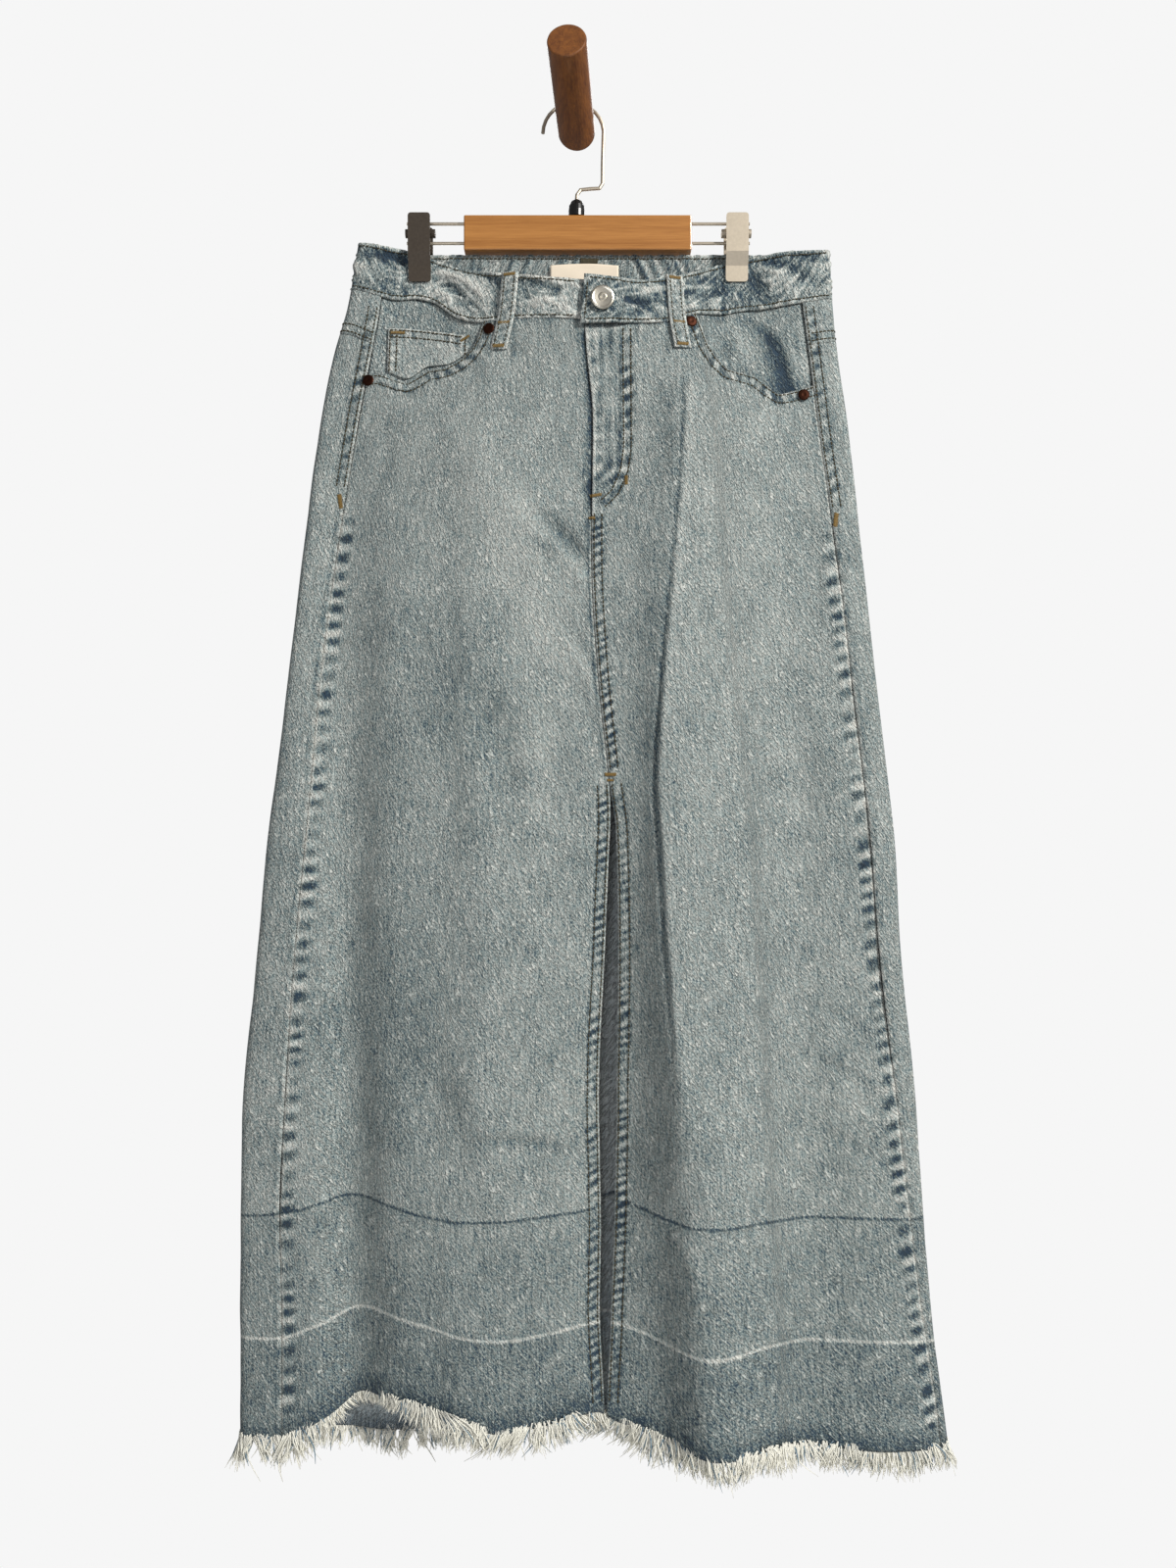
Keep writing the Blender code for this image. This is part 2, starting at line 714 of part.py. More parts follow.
def build_metal_trim(collection):
    rim = BUTTON_RADIUS
    button_profile = [
        (0, 0), (rim - 1.6, 0), (rim - 0.3, 0.9), (rim, 1.9), (rim - 0.5, 2.7), (rim - 1.5, 3.1),
        (rim - 2.6, 2.8), (3.6, 2.5), (3.0, 3.1), (2.2, 3.2), (1.6, 2.6), (0, 2.5),
    ]
    button = add_turned("button", button_profile, 24, "nickel", collection)
    place_on_front(button, *BUTTON_PLACE, BAND_LAY + 2 * (BAND_CLOTH + LAYER_GAP) + 0.2)
    size = RIVET_RADIUS
    rivet_profile = [(0, 0), (size - 0.3, 0), (size, 0.4), (size - 0.8, 0.9), (2.0, 1.1), (0, 0.9)]
    for rivet in RIVETS:
        piece = add_turned(rivet["name"], rivet_profile, 16, "copper", collection)
        place_on_front(piece, rivet["x"], rivet["z"], CLOTH + 3 * LAYER_GAP)


def add_plate(name, path, corner, thickness, material, collection):
    """A bent metal plate: y and z along it, with rounded corners, thickened away from the cloth."""
    path = np.array(path, float)
    runs = np.concatenate([[0], np.cumsum(np.hypot(*np.diff(path, axis=0).T))])
    ends = corner * (1 - np.cos(np.linspace(0, math.pi / 2, 5)))
    along = np.unique(np.concatenate([ends, runs[1:-1], runs[-1] - ends]))
    short = np.maximum(0, corner - np.minimum(along, runs[-1] - along))
    half = CLIP_WIDTH / 2 - corner + np.sqrt(np.maximum(0, corner**2 - short**2))
    y = np.interp(along, runs, path[:, 0])
    z = np.interp(along, runs, path[:, 1])
    across = np.array([-1.0, -0.5, 0.0, 0.5, 1.0])
    rows = [
        np.stack([half * share, y, z], axis=-1) for share in across
    ]
    return add_sheet(name, np.stack(rows), thickness, material, collection)


def build_clips(collection):
    """Each clip: a front and a rear plate that grip the waistband, and the spring between them."""
    grip = PINCH + BAND_LAY + BAND_CLOTH + LAYER_GAP
    front_path = [
        (HANGER_Y - grip, -128.6), (HANGER_Y - grip - 0.4, -116), (HANGER_Y - 8.6, -106),
        (HANGER_Y - 9.0, -75.6),
    ]
    rear_path = [
        (HANGER_Y + 8.6, -79), (HANGER_Y + 8.4, -104), (HANGER_Y + grip + 0.2, -114),
        (HANGER_Y + grip, -127.5),
    ]
    for side, x in zip(("left", "right"), CLIP_X):
        front = add_plate(f"clip_{side}_front", front_path, 2.4, 1.0, "steel", collection)
        front.location.x = x * MM
        rear = add_plate(f"clip_{side}_rear", rear_path, 2.4, 1.0, "steel", collection)
        rear.location.x = x * MM
        spring = add_rod(f"clip_{side}_spring", 24.0, 3.4, 16, "steel", collection)
        spring.location = Vector((x, HANGER_Y, sum(ROD_Z) / 2)) * MM


def add_rod(name, length, radius, sides, material, collection):
    """A round rod along X."""
    mesh = bpy.data.meshes.new(name)
    rod = bmesh.new()
    bmesh.ops.create_cone(
        rod, cap_ends=True, segments=sides, radius1=radius * MM, radius2=radius * MM,
        depth=length * MM, matrix=Matrix.Rotation(math.pi / 2, 4, "Y"),
    )
    rod.to_mesh(mesh)
    rod.free()
    return add_object(name, mesh, material, collection)


def build_bar(collection):
    place = (BAR_CENTRE[0], HANGER_Y, BAR_CENTRE[1])
    add_box("hanger_bar", BAR_SIZE, place, 1.0, "bar_wood", collection)
    for side, x, sign in zip(("left", "right"), CLIP_X, (-1, 1)):
        start = BAR_CENTRE[0] + sign * (BAR_SIZE[0] / 2 + 0.3)
        end = x + sign * (CLIP_WIDTH / 2 + 2.0)
        for level, z in zip(("upper", "lower"), ROD_Z):
            rod = add_rod(f"rod_{side}_{level}", abs(end - start), ROD_RADIUS, 12, "steel", collection)
            rod.location = Vector(((start + end) / 2, HANGER_Y, z)) * MM


def build_hook(collection):
    """A bead on the bar, and the wire that goes up from it and over the peg."""
    bar_top = BAR_CENTRE[1] + BAR_SIZE[2] / 2
    bead_base = bar_top + 0.3
    bead = add_turned(
        "hanger_bead", [(0, 0), (6.4, 0), (6.6, 5), (6.2, 9), (4.6, 12.4), (2.4, 14), (0, 14.3)], 24,
        "black_plastic", collection,
    )
    bead.location = Vector((BAR_CENTRE[0] - 0.9, HANGER_Y, bead_base)) * MM
    centre = Vector(HOOK_CENTRE)
    foot = [
        Vector((0.3, HANGER_Y, bead_base + 14.6)), Vector((0.6, -10.6, -56.5)),
        Vector((3.4, -10.0, -52.4)), Vector((12.0, -9.4, -51.2)), Vector((18.6, -8.8, -50.6)),
        Vector((21.0, -8.4, -46.5)), Vector((21.2, -7.4, -30.0)),
    ]
    turn = [math.radians(-8 + 12.5 * step) for step in range(16)]
    arc = [centre + HOOK_RADIUS * Vector((math.cos(a), 0.0, math.sin(a))) for a in turn]
    add_wire("hanger_hook", foot + arc, WIRE_RADIUS, "steel", collection)


def add_wire(name, points, radius, material, collection):
    data = bpy.data.curves.new(name, "CURVE")
    data.dimensions = "3D"
    data.bevel_depth = radius * MM
    data.bevel_resolution = 2
    data.use_fill_caps = True
    spline = data.splines.new("POLY")
    spline.points.add(len(points) - 1)
    for spot, point in zip(spline.points, points):
        spot.co = (*(point * MM), 1.0)
    spline.use_smooth = True
    return add_object(name, data, material, collection)


def build_peg(collection, cutters):
    """A dowel that leans up and a little left from the wall, cut flush with it."""
    mesh = bpy.data.meshes.new("peg")
    dowel = bmesh.new()
    swing = Matrix.Rotation(math.radians(PEG_SWING), 4, "Z")
    lean = swing @ Matrix.Rotation(math.radians(90 - PEG_TILT), 4, "X")
    buried = 10.0
    bmesh.ops.create_cone(
        dowel, cap_ends=True, segments=40, radius1=PEG_RADIUS * MM, radius2=PEG_RADIUS * MM,
        depth=(PEG_LENGTH + buried) * MM,
        matrix=lean @ Matrix.Translation((0, 0, (PEG_LENGTH - buried) / 2 * MM)),
    )
    dowel.to_mesh(mesh)
    dowel.free()
    mesh.shade_smooth()
    mesh.set_sharp_from_angle(angle=math.radians(40))
    peg = add_object("peg", mesh, "peg_wood", collection)
    rounding = peg.modifiers.new("Edges", "BEVEL")
    rounding.width = 1.2 * MM
    rounding.segments = 2
    wall = add_box("wall_cutter", (80, 40, 80), (0, 20, 0), 0.0, "peg_wood", cutters)
    wall.modifiers.clear()
    wall.hide_render = True
    wall.display_type = "WIRE"
    flush = peg.modifiers.new("Flush", "BOOLEAN")
    flush.operation = "DIFFERENCE"
    flush.solver = "EXACT"
    flush.object = wall


def main():
    for obj in list(bpy.data.objects):
        bpy.data.objects.remove(obj, do_unlink=True)
    collection = bpy.data.collections.new("denim_skirt")
    cutters = bpy.data.collections.new("cutters")
    bpy.context.scene.collection.children.link(collection)
    bpy.context.scene.collection.children.link(cutters)
    cutters.hide_render = True
    build_panels(collection)
    build_slit_hems(collection)
    build_waistband(collection)
    build_pockets(collection)
    build_fringe(collection)
    build_belt_loops(collection)
    build_label(collection)
    build_zip(collection)
    build_metal_trim(collection)
    build_clips(collection)
    build_bar(collection)
    build_hook(collection)
    build_peg(collection, cutters)


main()
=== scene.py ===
import math

import bpy
import numpy as np
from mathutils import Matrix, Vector


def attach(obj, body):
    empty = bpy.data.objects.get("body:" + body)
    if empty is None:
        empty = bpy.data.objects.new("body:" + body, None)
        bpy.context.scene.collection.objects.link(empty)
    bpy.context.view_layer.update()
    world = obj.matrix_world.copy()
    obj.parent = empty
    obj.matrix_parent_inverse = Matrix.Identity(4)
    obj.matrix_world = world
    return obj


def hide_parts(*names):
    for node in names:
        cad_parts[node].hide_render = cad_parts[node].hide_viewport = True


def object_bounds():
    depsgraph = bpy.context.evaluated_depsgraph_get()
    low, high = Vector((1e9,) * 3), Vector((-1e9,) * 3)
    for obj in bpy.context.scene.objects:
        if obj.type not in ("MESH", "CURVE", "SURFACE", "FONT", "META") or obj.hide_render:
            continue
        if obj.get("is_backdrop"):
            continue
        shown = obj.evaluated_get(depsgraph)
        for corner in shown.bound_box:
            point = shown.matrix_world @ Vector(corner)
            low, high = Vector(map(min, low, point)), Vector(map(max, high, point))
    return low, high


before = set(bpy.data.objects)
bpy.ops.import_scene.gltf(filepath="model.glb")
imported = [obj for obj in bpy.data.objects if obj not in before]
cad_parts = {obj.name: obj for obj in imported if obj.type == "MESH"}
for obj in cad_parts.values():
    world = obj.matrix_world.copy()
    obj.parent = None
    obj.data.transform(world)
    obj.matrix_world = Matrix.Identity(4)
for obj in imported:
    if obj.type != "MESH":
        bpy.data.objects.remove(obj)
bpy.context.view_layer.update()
mm = 0.001
body = "root"
print("frame loaded:", len(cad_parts), "parts")

# The skirt is one flattened tube of cloth. Sizes are in millimetres in the frame's own axes:
# x right, y into the wall, z up from the middle of the peg's foot.
cloth = {
    "thick": 1.2,       # one layer of denim
    "band": 3.0,        # folded waistband
    "bandLay": -1.2,    # its inner face, measured from the skin
    "gap": 0.3,         # between layers
    "cut": 0.15,        # half the gap between neighbouring pieces
    "fullness": 0.42,   # how square the tube's section is
    "cell": 2.6,        # mesh size on the front
    "backCell": 3.6,
    "sewnCell": 1.6,    # on waistband and pockets
}
bandLevel = -150.0      # heights where a place on the band or the hem is looked up
hemLevel = -1040.0

# height, side folds, side seams, centre line and half of the slit
shapeRows = [
    (-1075, -265, 296, -230, 289, 23, 0.8),
    (-1035, -265, 291, -231, 285, 23, 1.0),
    (-955, -265, 281, -231, 273, 23, 4.4),
    (-870, -265, 274, -233, 262, 25, 5.4),
    (-780, -263, 268, -229, 252, 25, 7.0),
    (-655, -251, 256, -221, 238, 28, 5.0),
    (-565, -243, 251, -213, 231, 29, 2.2),
    (-530, -238, 247, -210, 227, 26, 0.25),
    (-455, -229, 238, -204, 218, 18, 0.25),
    (-345, -216, 226, -190, 205, 12, 0.25),
    (-245, -203, 215, -173, 191, 13, 0.25),
    (-190, -193, 208, -163, 185, 8, 0.25),
    (-143, -181, 204, -156, 180, 5, 0.25),
    (-95, -173, 201, -152, 177, 5, 0.25),
]
shapeNames = ("z", "left", "right", "leftSeam", "rightSeam", "centre", "slit")
shapeTable = dict(zip(shapeNames, np.array(shapeRows, float).T))

# height, depth of the front and of the back
depthRows = np.array([
    (-1075, -40, -5), (-870, -38, -5), (-530, -35, -5), (-300, -33, -4), (-200, -32, -5),
], float)

# long hanging folds: side, heights, places and rises towards the viewer, reach to each side
foldRows = [
    ("front", (-210, -560, -1060), (-184, -186, -174), (-5, -17, -27), (20, 29)),
    ("front", (-170, -560, -1060), (-100, -70, -88), (1, 7, 7), (26, 40)),
    ("front", (-180, -560, -1060), (84, 77, 108), (4, 13, 29), (26, 50)),
    ("front", (-530, -700, -1060), (29, 29, 26), (0, -8, -14), (30, 26)),
    ("front", (-210, -560, -1060), (172, 176, 188), (-3, -4, -5), (22, 26)),
    ("back", (-190, -560, -1060), (-80, -84, -92), (1, 5, 9), (30, 26)),
    ("back", (-190, -560, -1060), (64, 76, 88), (2, 6, 10), (24, 34)),
]

hanger = {"y": -11.0, "pinch": 2.0, "clipX": (-125.4, 128.6), "clipWidth": 17.8}

# waistband in front: x, top edge, lower seam
seamLevel = -143.0
leftBand = np.array([
    (-181, -98, -135), (-157, -101, -141), (-143, -103, -143), (-131, -106, -142),
    (-117, -111, -144), (-91, -120, -160), (-72, -125, -165), (-34, -132, -165),
    (-10, -135, -166), (27, -138, -168),
], float)
rightBand = np.array([
    (4, -133, -171), (40, -135, -169), (74, -129, -165), (99, -121, -156),
    (118, -114, -155), (134, -111, -152), (151, -108, -151), (204, -104, -143),
], float)
backBand = {"top": -105.0, "seam": -143.0, "overlap": 22.0}

leftPocket = np.array([
    (-170, -206), (-157, -205), (-134, -213), (-117, -203), (-103, -202), (-91, -196),
    (-82, -187), (-77, -177), (-73, -163),
], float)
rightPocket = np.array([
    (95, -156), (100, -169), (104, -182), (112, -195), (120, -204), (142, -210),
    (152, -218), (160, -223), (172, -220), (192, -214),
], float)

hemRows = np.array([
    (-270, -1046), (-235, -1046), (-200, -1030), (-165, -1016), (-125, -1018), (-90, -1026),
    (-57, -1036), (-15, -1031), (15, -1026), (32, -1034), (60, -1040), (105, -1044),
    (150, -1045), (200, -1051), (300, -1054),
], float)
backRows = np.array([
    (0.0, -1046, -181), (0.06, -1047, -172), (0.19, -1049, -185), (0.26, -1054, -191),
    (0.34, -1048, -198), (0.5, -1037, -212), (0.75, -1042, -192), (0.94, -1053, -178),
    (1.0, -1054, -182),
], float)

# the let-down hem left an indigo line and, below it, a rubbed white crease: x and height
oldHemRows = np.array([
    (-270, -872), (-230, -868), (-181, -860), (-160, -861), (-120, -869), (-90, -873),
    (-20, -869), (15, -866), (33, -861), (72, -868), (107, -871), (145, -872), (200, -872), (290, -874),
], float)
oldCreaseRows = np.array([
    (-270, -967), (-235, -966), (-205, -957), (-163, -948), (-125, -953), (-90, -961),
    (-57, -964), (-20, -960), (15, -956), (45, -960), (75, -967), (110, -969),
    (150, -966), (200, -967), (290, -970),
], float)


def curve(at, xs, ys):
    # smooth through the points, level where they turn
    order = np.argsort(xs)
    xs, ys = np.asarray(xs, float)[order], np.asarray(ys, float)[order]
    steps = np.diff(xs)
    rises = np.diff(ys) / steps
    slopes = np.concatenate([[rises[0]], np.zeros(len(xs) - 2), [rises[-1]]])
    weight = (steps[1:] * rises[:-1] + steps[:-1] * rises[1:]) / (steps[1:] + steps[:-1])
    limit = 2 * np.minimum(abs(rises[:-1]), abs(rises[1:]))
    sameWay = rises[:-1] * rises[1:] > 0
    slopes[1:-1] = np.where(sameWay, np.sign(weight) * np.minimum(abs(weight), limit), 0)
    at = np.clip(at, xs[0], xs[-1])
    i = np.clip(np.searchsorted(xs, at) - 1, 0, len(xs) - 2)
    t = (at - xs[i]) / steps[i]
    into = (3 - 2 * t) * t * t
    bend = t * (1 - t) * steps[i] * ((1 - t) * slopes[i] - t * slopes[i + 1])
    return ys[i] * (1 - into) + ys[i + 1] * into + bend


def along(rows, x, column=1):
    return curve(x, rows[:, 0], rows[:, column])


def shapeAt(name, z):
    return curve(z, shapeTable["z"], shapeTable[name])


def ease(value, start, end):
    t = np.clip((value - start) / (end - start), 0, 1)
    return t * t * (3 - 2 * t)


def between(first, second, share):
    return first + (second - first) * share


def softNoise(a, b, wave, seed):
    # a sum of seeded sines of about this wavelength, from -1 to 1
    rng = np.random.default_rng(seed)
    total = np.zeros(np.broadcast(a, b).shape)
    for _ in range(9):
        angle, phase = rng.uniform(0, 2 * math.pi, 2)
        pull = 2 * math.pi / (wave * rng.uniform(0.7, 1.4))
        total += np.sin((a * math.cos(angle) + b * math.sin(angle)) * pull + phase)
    return total / 4.0


def makeLoop():
    angle = np.linspace(0, 2 * math.pi, 4001)
    x = 225 * np.cos(angle)
    y = -15 * np.sign(np.sin(angle)) * abs(np.sin(angle)) ** cloth["fullness"]
    length = np.concatenate([[0], np.cumsum(np.hypot(np.diff(x), np.diff(y)))])
    return length / length[-1], angle


loopAround, loopAngle = makeLoop()


def foldRise(side, x, z):
    total = np.zeros(np.broadcast(x, z).shape)
    for onSide, heights, places, rises, reaches in foldRows:
        if onSide != side:
            continue
        away = x - curve(z, heights, places)
        reach = np.where(away < 0, *reaches)
        total += curve(z, heights, rises) * np.exp(-((away / reach) ** 2))
    return total


def depthsAt(x, z):
    half = hanger["clipWidth"] / 2 + 1
    leftClip, rightClip = hanger["clipX"]
    share = np.clip((x - leftClip - half) / (rightClip - leftClip - 2 * half), 0, 1)
    beyond = np.maximum(leftClip - half - x, x - rightClip - half)
    bow = 24 * np.sin(math.pi * share) ** 1.3
    bulge = 7 * ease(beyond, 0, 36)
    waistFront = hanger["y"] - hanger["pinch"] - bow - bulge
    waistBack = hanger["y"] + hanger["pinch"] + 0.5 * bulge
    front = curve(z, depthRows[:, 0], depthRows[:, 1]) - foldRise("front", x, z)
    back = curve(z, depthRows[:, 0], depthRows[:, 2]) - foldRise("back", x, z)
    openFront, openBack = ease(z, -132, -250), ease(z, -150, -270)
    return between(waistFront, front, openFront), between(waistBack, back, openBack)


def baseAt(around, z):
    angle = np.interp(around % 1.0, loopAround, loopAngle)
    left, right = shapeAt("left", z), shapeAt("right", z)
    x = (left + right) / 2 + (right - left) / 2 * np.cos(angle)
    front, back = depthsAt(x, z)
    swell = np.sign(np.sin(angle)) * abs(np.sin(angle)) ** cloth["fullness"]
    y = (front + back) / 2 + (front - back) / 2 * swell
    return np.stack([x, y, z + np.zeros_like(x)], axis=-1)


def outwardAt(around, z):
    sideways = baseAt(around + 0.0008, z) - baseAt(around - 0.0008, z)
    up = baseAt(around, z + 1.0) - baseAt(around, z - 1.0)
    normal = np.cross(up, sideways)
    return normal / np.linalg.norm(normal, axis=-1, keepdims=True)


def skinAt(around, z, lay=0.0):
    lay = np.asarray(lay, float) + np.zeros(np.shape(around))
    return baseAt(around, z) + outwardAt(around, z) * lay[..., None]


def frontAt(x, z):
    left, right = shapeAt("left", z), shapeAt("right", z)
    cosine = np.clip((x - (left + right) / 2) / ((right - left) / 2), -1, 1)
    return np.interp(np.arccos(cosine), loopAngle, loopAround)


def frontX(around, z):
    return baseAt(around, z)[..., 0]


def bandEdge(rows, column, around):
    return along(rows, frontX(around, seamLevel), column)


def behindShare(turn):
    return ease(turn, 0.5, 0.57) * ease(turn, 1.0, 0.93)


def loopEdge(column, level, around):
    turn = around % 1.0
    onLeft = frontX(turn, seamLevel) < 0
    front = np.where(onLeft, bandEdge(leftBand, column, turn), bandEdge(rightBand, column, turn))
    return between(front, level, behindShare(turn))


def settle(nextHeight):
    z = nextHeight(seamLevel)
    for _ in range(6):
        z = nextHeight(z)
    return z


# creases: from x, z to x, z, half width, rise (a trough is below zero)
frontCreases = [
    (-40, -312, 12, -366, 6, -5.2), (-34, -332, 10, -380, 6, 2.8), (-96, -246, -20, -410, 26, 5.5),
    (-84, -446, -54, -560, 13, -4.0), (-58, -430, -30, -540, 15, 2.8), (-129, -741, 17, -654, 7, 1.6),
    (-110, -760, 10, -690, 9, -0.9), (-92, -812, 2, -822, 5, -2.2), (-86, -800, 0, -812, 6, 1.2),
    (-30, -560, 20, -600, 6, 1.1), (-52, -640, 16, -612, 6, -0.9), (-20, -396, 14, -440, 4, -1.3),
    (-10, -418, 16, -470, 4, 1.0), (-4, -450, 17, -500, 3.5, -0.9), (-150, -700, -66, -990, 20, -3.2),
    (-112, -700, -34, -990, 22, 1.6), (-66, -174, -50, -196, 3, 1.0), (-60, -176, -38, -206, 3, -0.9),
    (120, -230, 140, -430, 30, 1.6),
    (60, -200, 66, -300, 5, -0.9), (40, -176, 44, -290, 5, 0.8), (150, -500, 190, -640, 26, -1.4),
    (130, -640, 210, -700, 14, 1.0), (96, -800, 60, -900, 9, -1.5), (70, -870, 100, -930, 8, 1.2),
    (170, -700, 236, -735, 4, -1.2), (168, -742, 240, -778, 4, -1.4), (178, -770, 246, -806, 4, 1.0),
    (176, -800, 250, -838, 4, -1.3), (190, -832, 254, -860, 4, -1.1), (150, -866, 240, -884, 5, -0.8),
    (160, -905, 262, -935, 6, 0.9), (186, -250, 178, -330, 8, 1.2), (172, -300, 188, -420, 10, -1.4),
    (-176, -560, -214, -600, 4, -0.9), (-186, -640, -222, -668, 4, 1.0), (-182, -700, -226, -730, 4, -1.1),
    (-190, -760, -228, -782, 4, -0.9), (-182, -850, -230, -874, 5, 0.9), (-196, -930, -230, -950, 5, -0.8),
    (-150, -240, -170, -330, 9, -1.2), (-130, -330, -168, -470, 16, 1.3), (20, -800, -20, -870, 7, 0.8),
]
backCreases = [
    (-150, -230, -60, -330, 14, -1.4), (150, -240, 70, -350, 16, -1.2), (-20, -260, 30, -420, 18, 1.3),
    (-180, -420, -110, -560, 16, -1.6), (120, -470, 190, -610, 18, 1.2), (-60, -620, 40, -580, 8, -1.0),
    (30, -760, 130, -700, 8, 1.0), (-170, -800, -90, -820, 7, -1.2), (160, -860, 220, -900, 7, -1.1),
    (-40, -900, 40, -1000, 20, -1.5), (-200, -660, -150, -720, 6, 0.9), (190, -330, 140, -400, 8, -1.0),
]
bandCreases = [
    (-118, -112, -50, -143, 4, -2.2), (-112, -119, -66, -150, 4, 1.6), (-117, -124, -80, -158, 4, -1.6),
    (-84, -124, -20, -140, 4, 1.4), (-60, -131, -6, -152, 4, -1.7), (-40, -150, 2, -162, 4, 1.2),
    (-48, -138, -30, -164, 4, -1.2), (-170, -108, -134, -113, 5, -2.2), (-176, -112, -166, -128, 4, 1.2),
    (-150, -122, -128, -136, 5, 1.0), (-124, -131, -96, -146, 5, 1.2), (-20, -146, -2, -142, 3, -1.0),
    (30, -150, 62, -158, 3, -1.6), (32, -144, 60, -140, 3, 1.2), (40, -160, 70, -146, 3.5, -1.5),
    (46, -152, 68, -136, 3, 1.1), (34, -164, 56, -152, 3, 1.1), (78, -148, 118, -126, 4, -1.7),
    (82, -140, 112, -132, 3, 1.4), (84, -156, 120, -142, 4, 1.2), (96, -150, 122, -134, 3, -1.3),
    (134, -118, 150, -146, 4, -1.7), (140, -116, 178, -134, 3.5, 1.4), (146, -112, 182, -124, 3.5, -1.6),
    (150, -128, 176, -140, 4, 1.1), (160, -112, 198, -112, 3.5, -1.6), (176, -126, 198, -132, 4, -1.0),
]


def creaseRelief(rows, x, z, shading=False):
    # as shading: painted shade in troughs, painted light on ridges, faded for broad ones, which only the
    # light shows
    total = np.zeros(np.broadcast(x, z).shape)
    for x0, z0, x1, z1, width, rise in rows:
        dx, dz = x1 - x0, z1 - z0
        run = math.hypot(dx, dz)
        t = ((x - x0) * dx + (z - z0) * dz) / run**2
        bowed = 0.07 * run * np.sin(math.pi * np.clip(t, 0, 1))
        off = ((x - x0) * dz - (z - z0) * dx) / run + bowed
        taper = ease(t, -0.12, 0.35) * ease(t, 1.12, 0.65)
        strength = min(1.0, (5.0 / width) ** 2) if shading else 1.0
        total += rise * strength * taper * np.exp(-((off / width) ** 2))
    return total


def ropeWave(run, off, pitch, lean, seed):
    # puckers along a felled seam, uneven in spacing and depth
    drift = 2.0 * softNoise(run, run * 0, pitch * 5, seed)
    even = np.sin(2 * math.pi * (run + lean * off) / pitch + drift)
    loose = softNoise(run + lean * off, off * 0.35, pitch * 0.8, seed + 60)
    return even + 0.4 * loose


def seamLine(name, first, last, shift=0.0, count=40):
    z = np.linspace(first, last, count)
    return np.stack([shapeAt(name, z) + shift, z], axis=-1)


def slitLine(sign):
    z = np.linspace(-531, -1022, 40)
    return np.stack([shapeAt("centre", z) + sign * shapeAt("slit", z), z], axis=-1)


# stitched strips on the front: a path in x and z; rows of stitches and puckers lie to its left side
# (above zero) or right side, in mm; rope is how strongly the layers below pucker
strips = {
    "centreSeam": {
        "path": seamLine("centre", -318, -522), "rows": (2.2, 8.2), "rope": (5.0, 5.0, 1.1), "pitch": 7.5,
    },
    "slitLeft": {"path": slitLine(-1), "rows": (-1.8, -9.2), "rope": (-5.5, 5.0, 0.9), "pitch": 7.5},
    "slitRight": {"path": slitLine(1), "rows": (1.8, 9.2), "rope": (5.5, 5.0, 0.9), "pitch": 7.5},
    "flyCurve": {
        "path": np.array([(37, -172), (37.5, -266), (35, -284), (28, -300), (17, -310)], float),
        "rows": (0.0, 6.0), "rope": (3.0, 5.0, 0.9), "pitch": 12,
    },
    "flyEdge": {"path": seamLine("centre", -171, -318), "rows": (), "rope": (5.0, 4.0, 0.45), "pitch": 14},
    "leftPocket": {"path": leftPocket, "rows": (-1.6, -8.0), "rope": (-4.8, 4.6, 0.9), "pitch": 9},
    "rightPocket": {"path": rightPocket, "rows": (-1.6, -8.0), "rope": (-4.8, 4.6, 0.9), "pitch": 9},
    "leftTop": {
        "path": seamLine("leftSeam", -150, -300),
        "rows": (-2.2, -8.6), "rope": (-5.4, 5.0, 0.7), "pitch": 11,
    },
    "rightTop": {
        "path": seamLine("rightSeam", -150, -316),
        "rows": (2.2, 8.6), "rope": (5.4, 5.0, 0.7), "pitch": 11,
    },
    "leftSide": {
        "path": seamLine("leftSeam", -312, -1032),
        "rows": (), "rope": (5.0, 6.0, 0.95), "pitch": 14,
    },
    "rightSide": {
        "path": seamLine("rightSeam", -326, -1040),
        "rows": (), "rope": (-5.0, 6.0, 0.95), "pitch": 14,
    },
}


def nearPath(path, x, z):
    # signed distance from the path, above zero to the left of its travel, and the run along it
    best = np.full(np.shape(x), 1e9)
    side, run, walked = np.zeros(np.shape(x)), np.zeros(np.shape(x)), 0.0
    for (x0, z0), (x1, z1) in zip(path[:-1], path[1:]):
        dx, dz = x1 - x0, z1 - z0
        length = math.hypot(dx, dz)
        t = np.clip(((x - x0) * dx + (z - z0) * dz) / length**2, 0, 1)
        away = np.hypot(x - x0 - t * dx, z - z0 - t * dz)
        left = np.sign((z - z0) * dx - (x - x0) * dz)
        closer = away < best
        best = np.where(closer, away, best)
        side = np.where(closer, left, side)
        run = np.where(closer, walked + t * length, run)
        walked += length
    return best * side, run


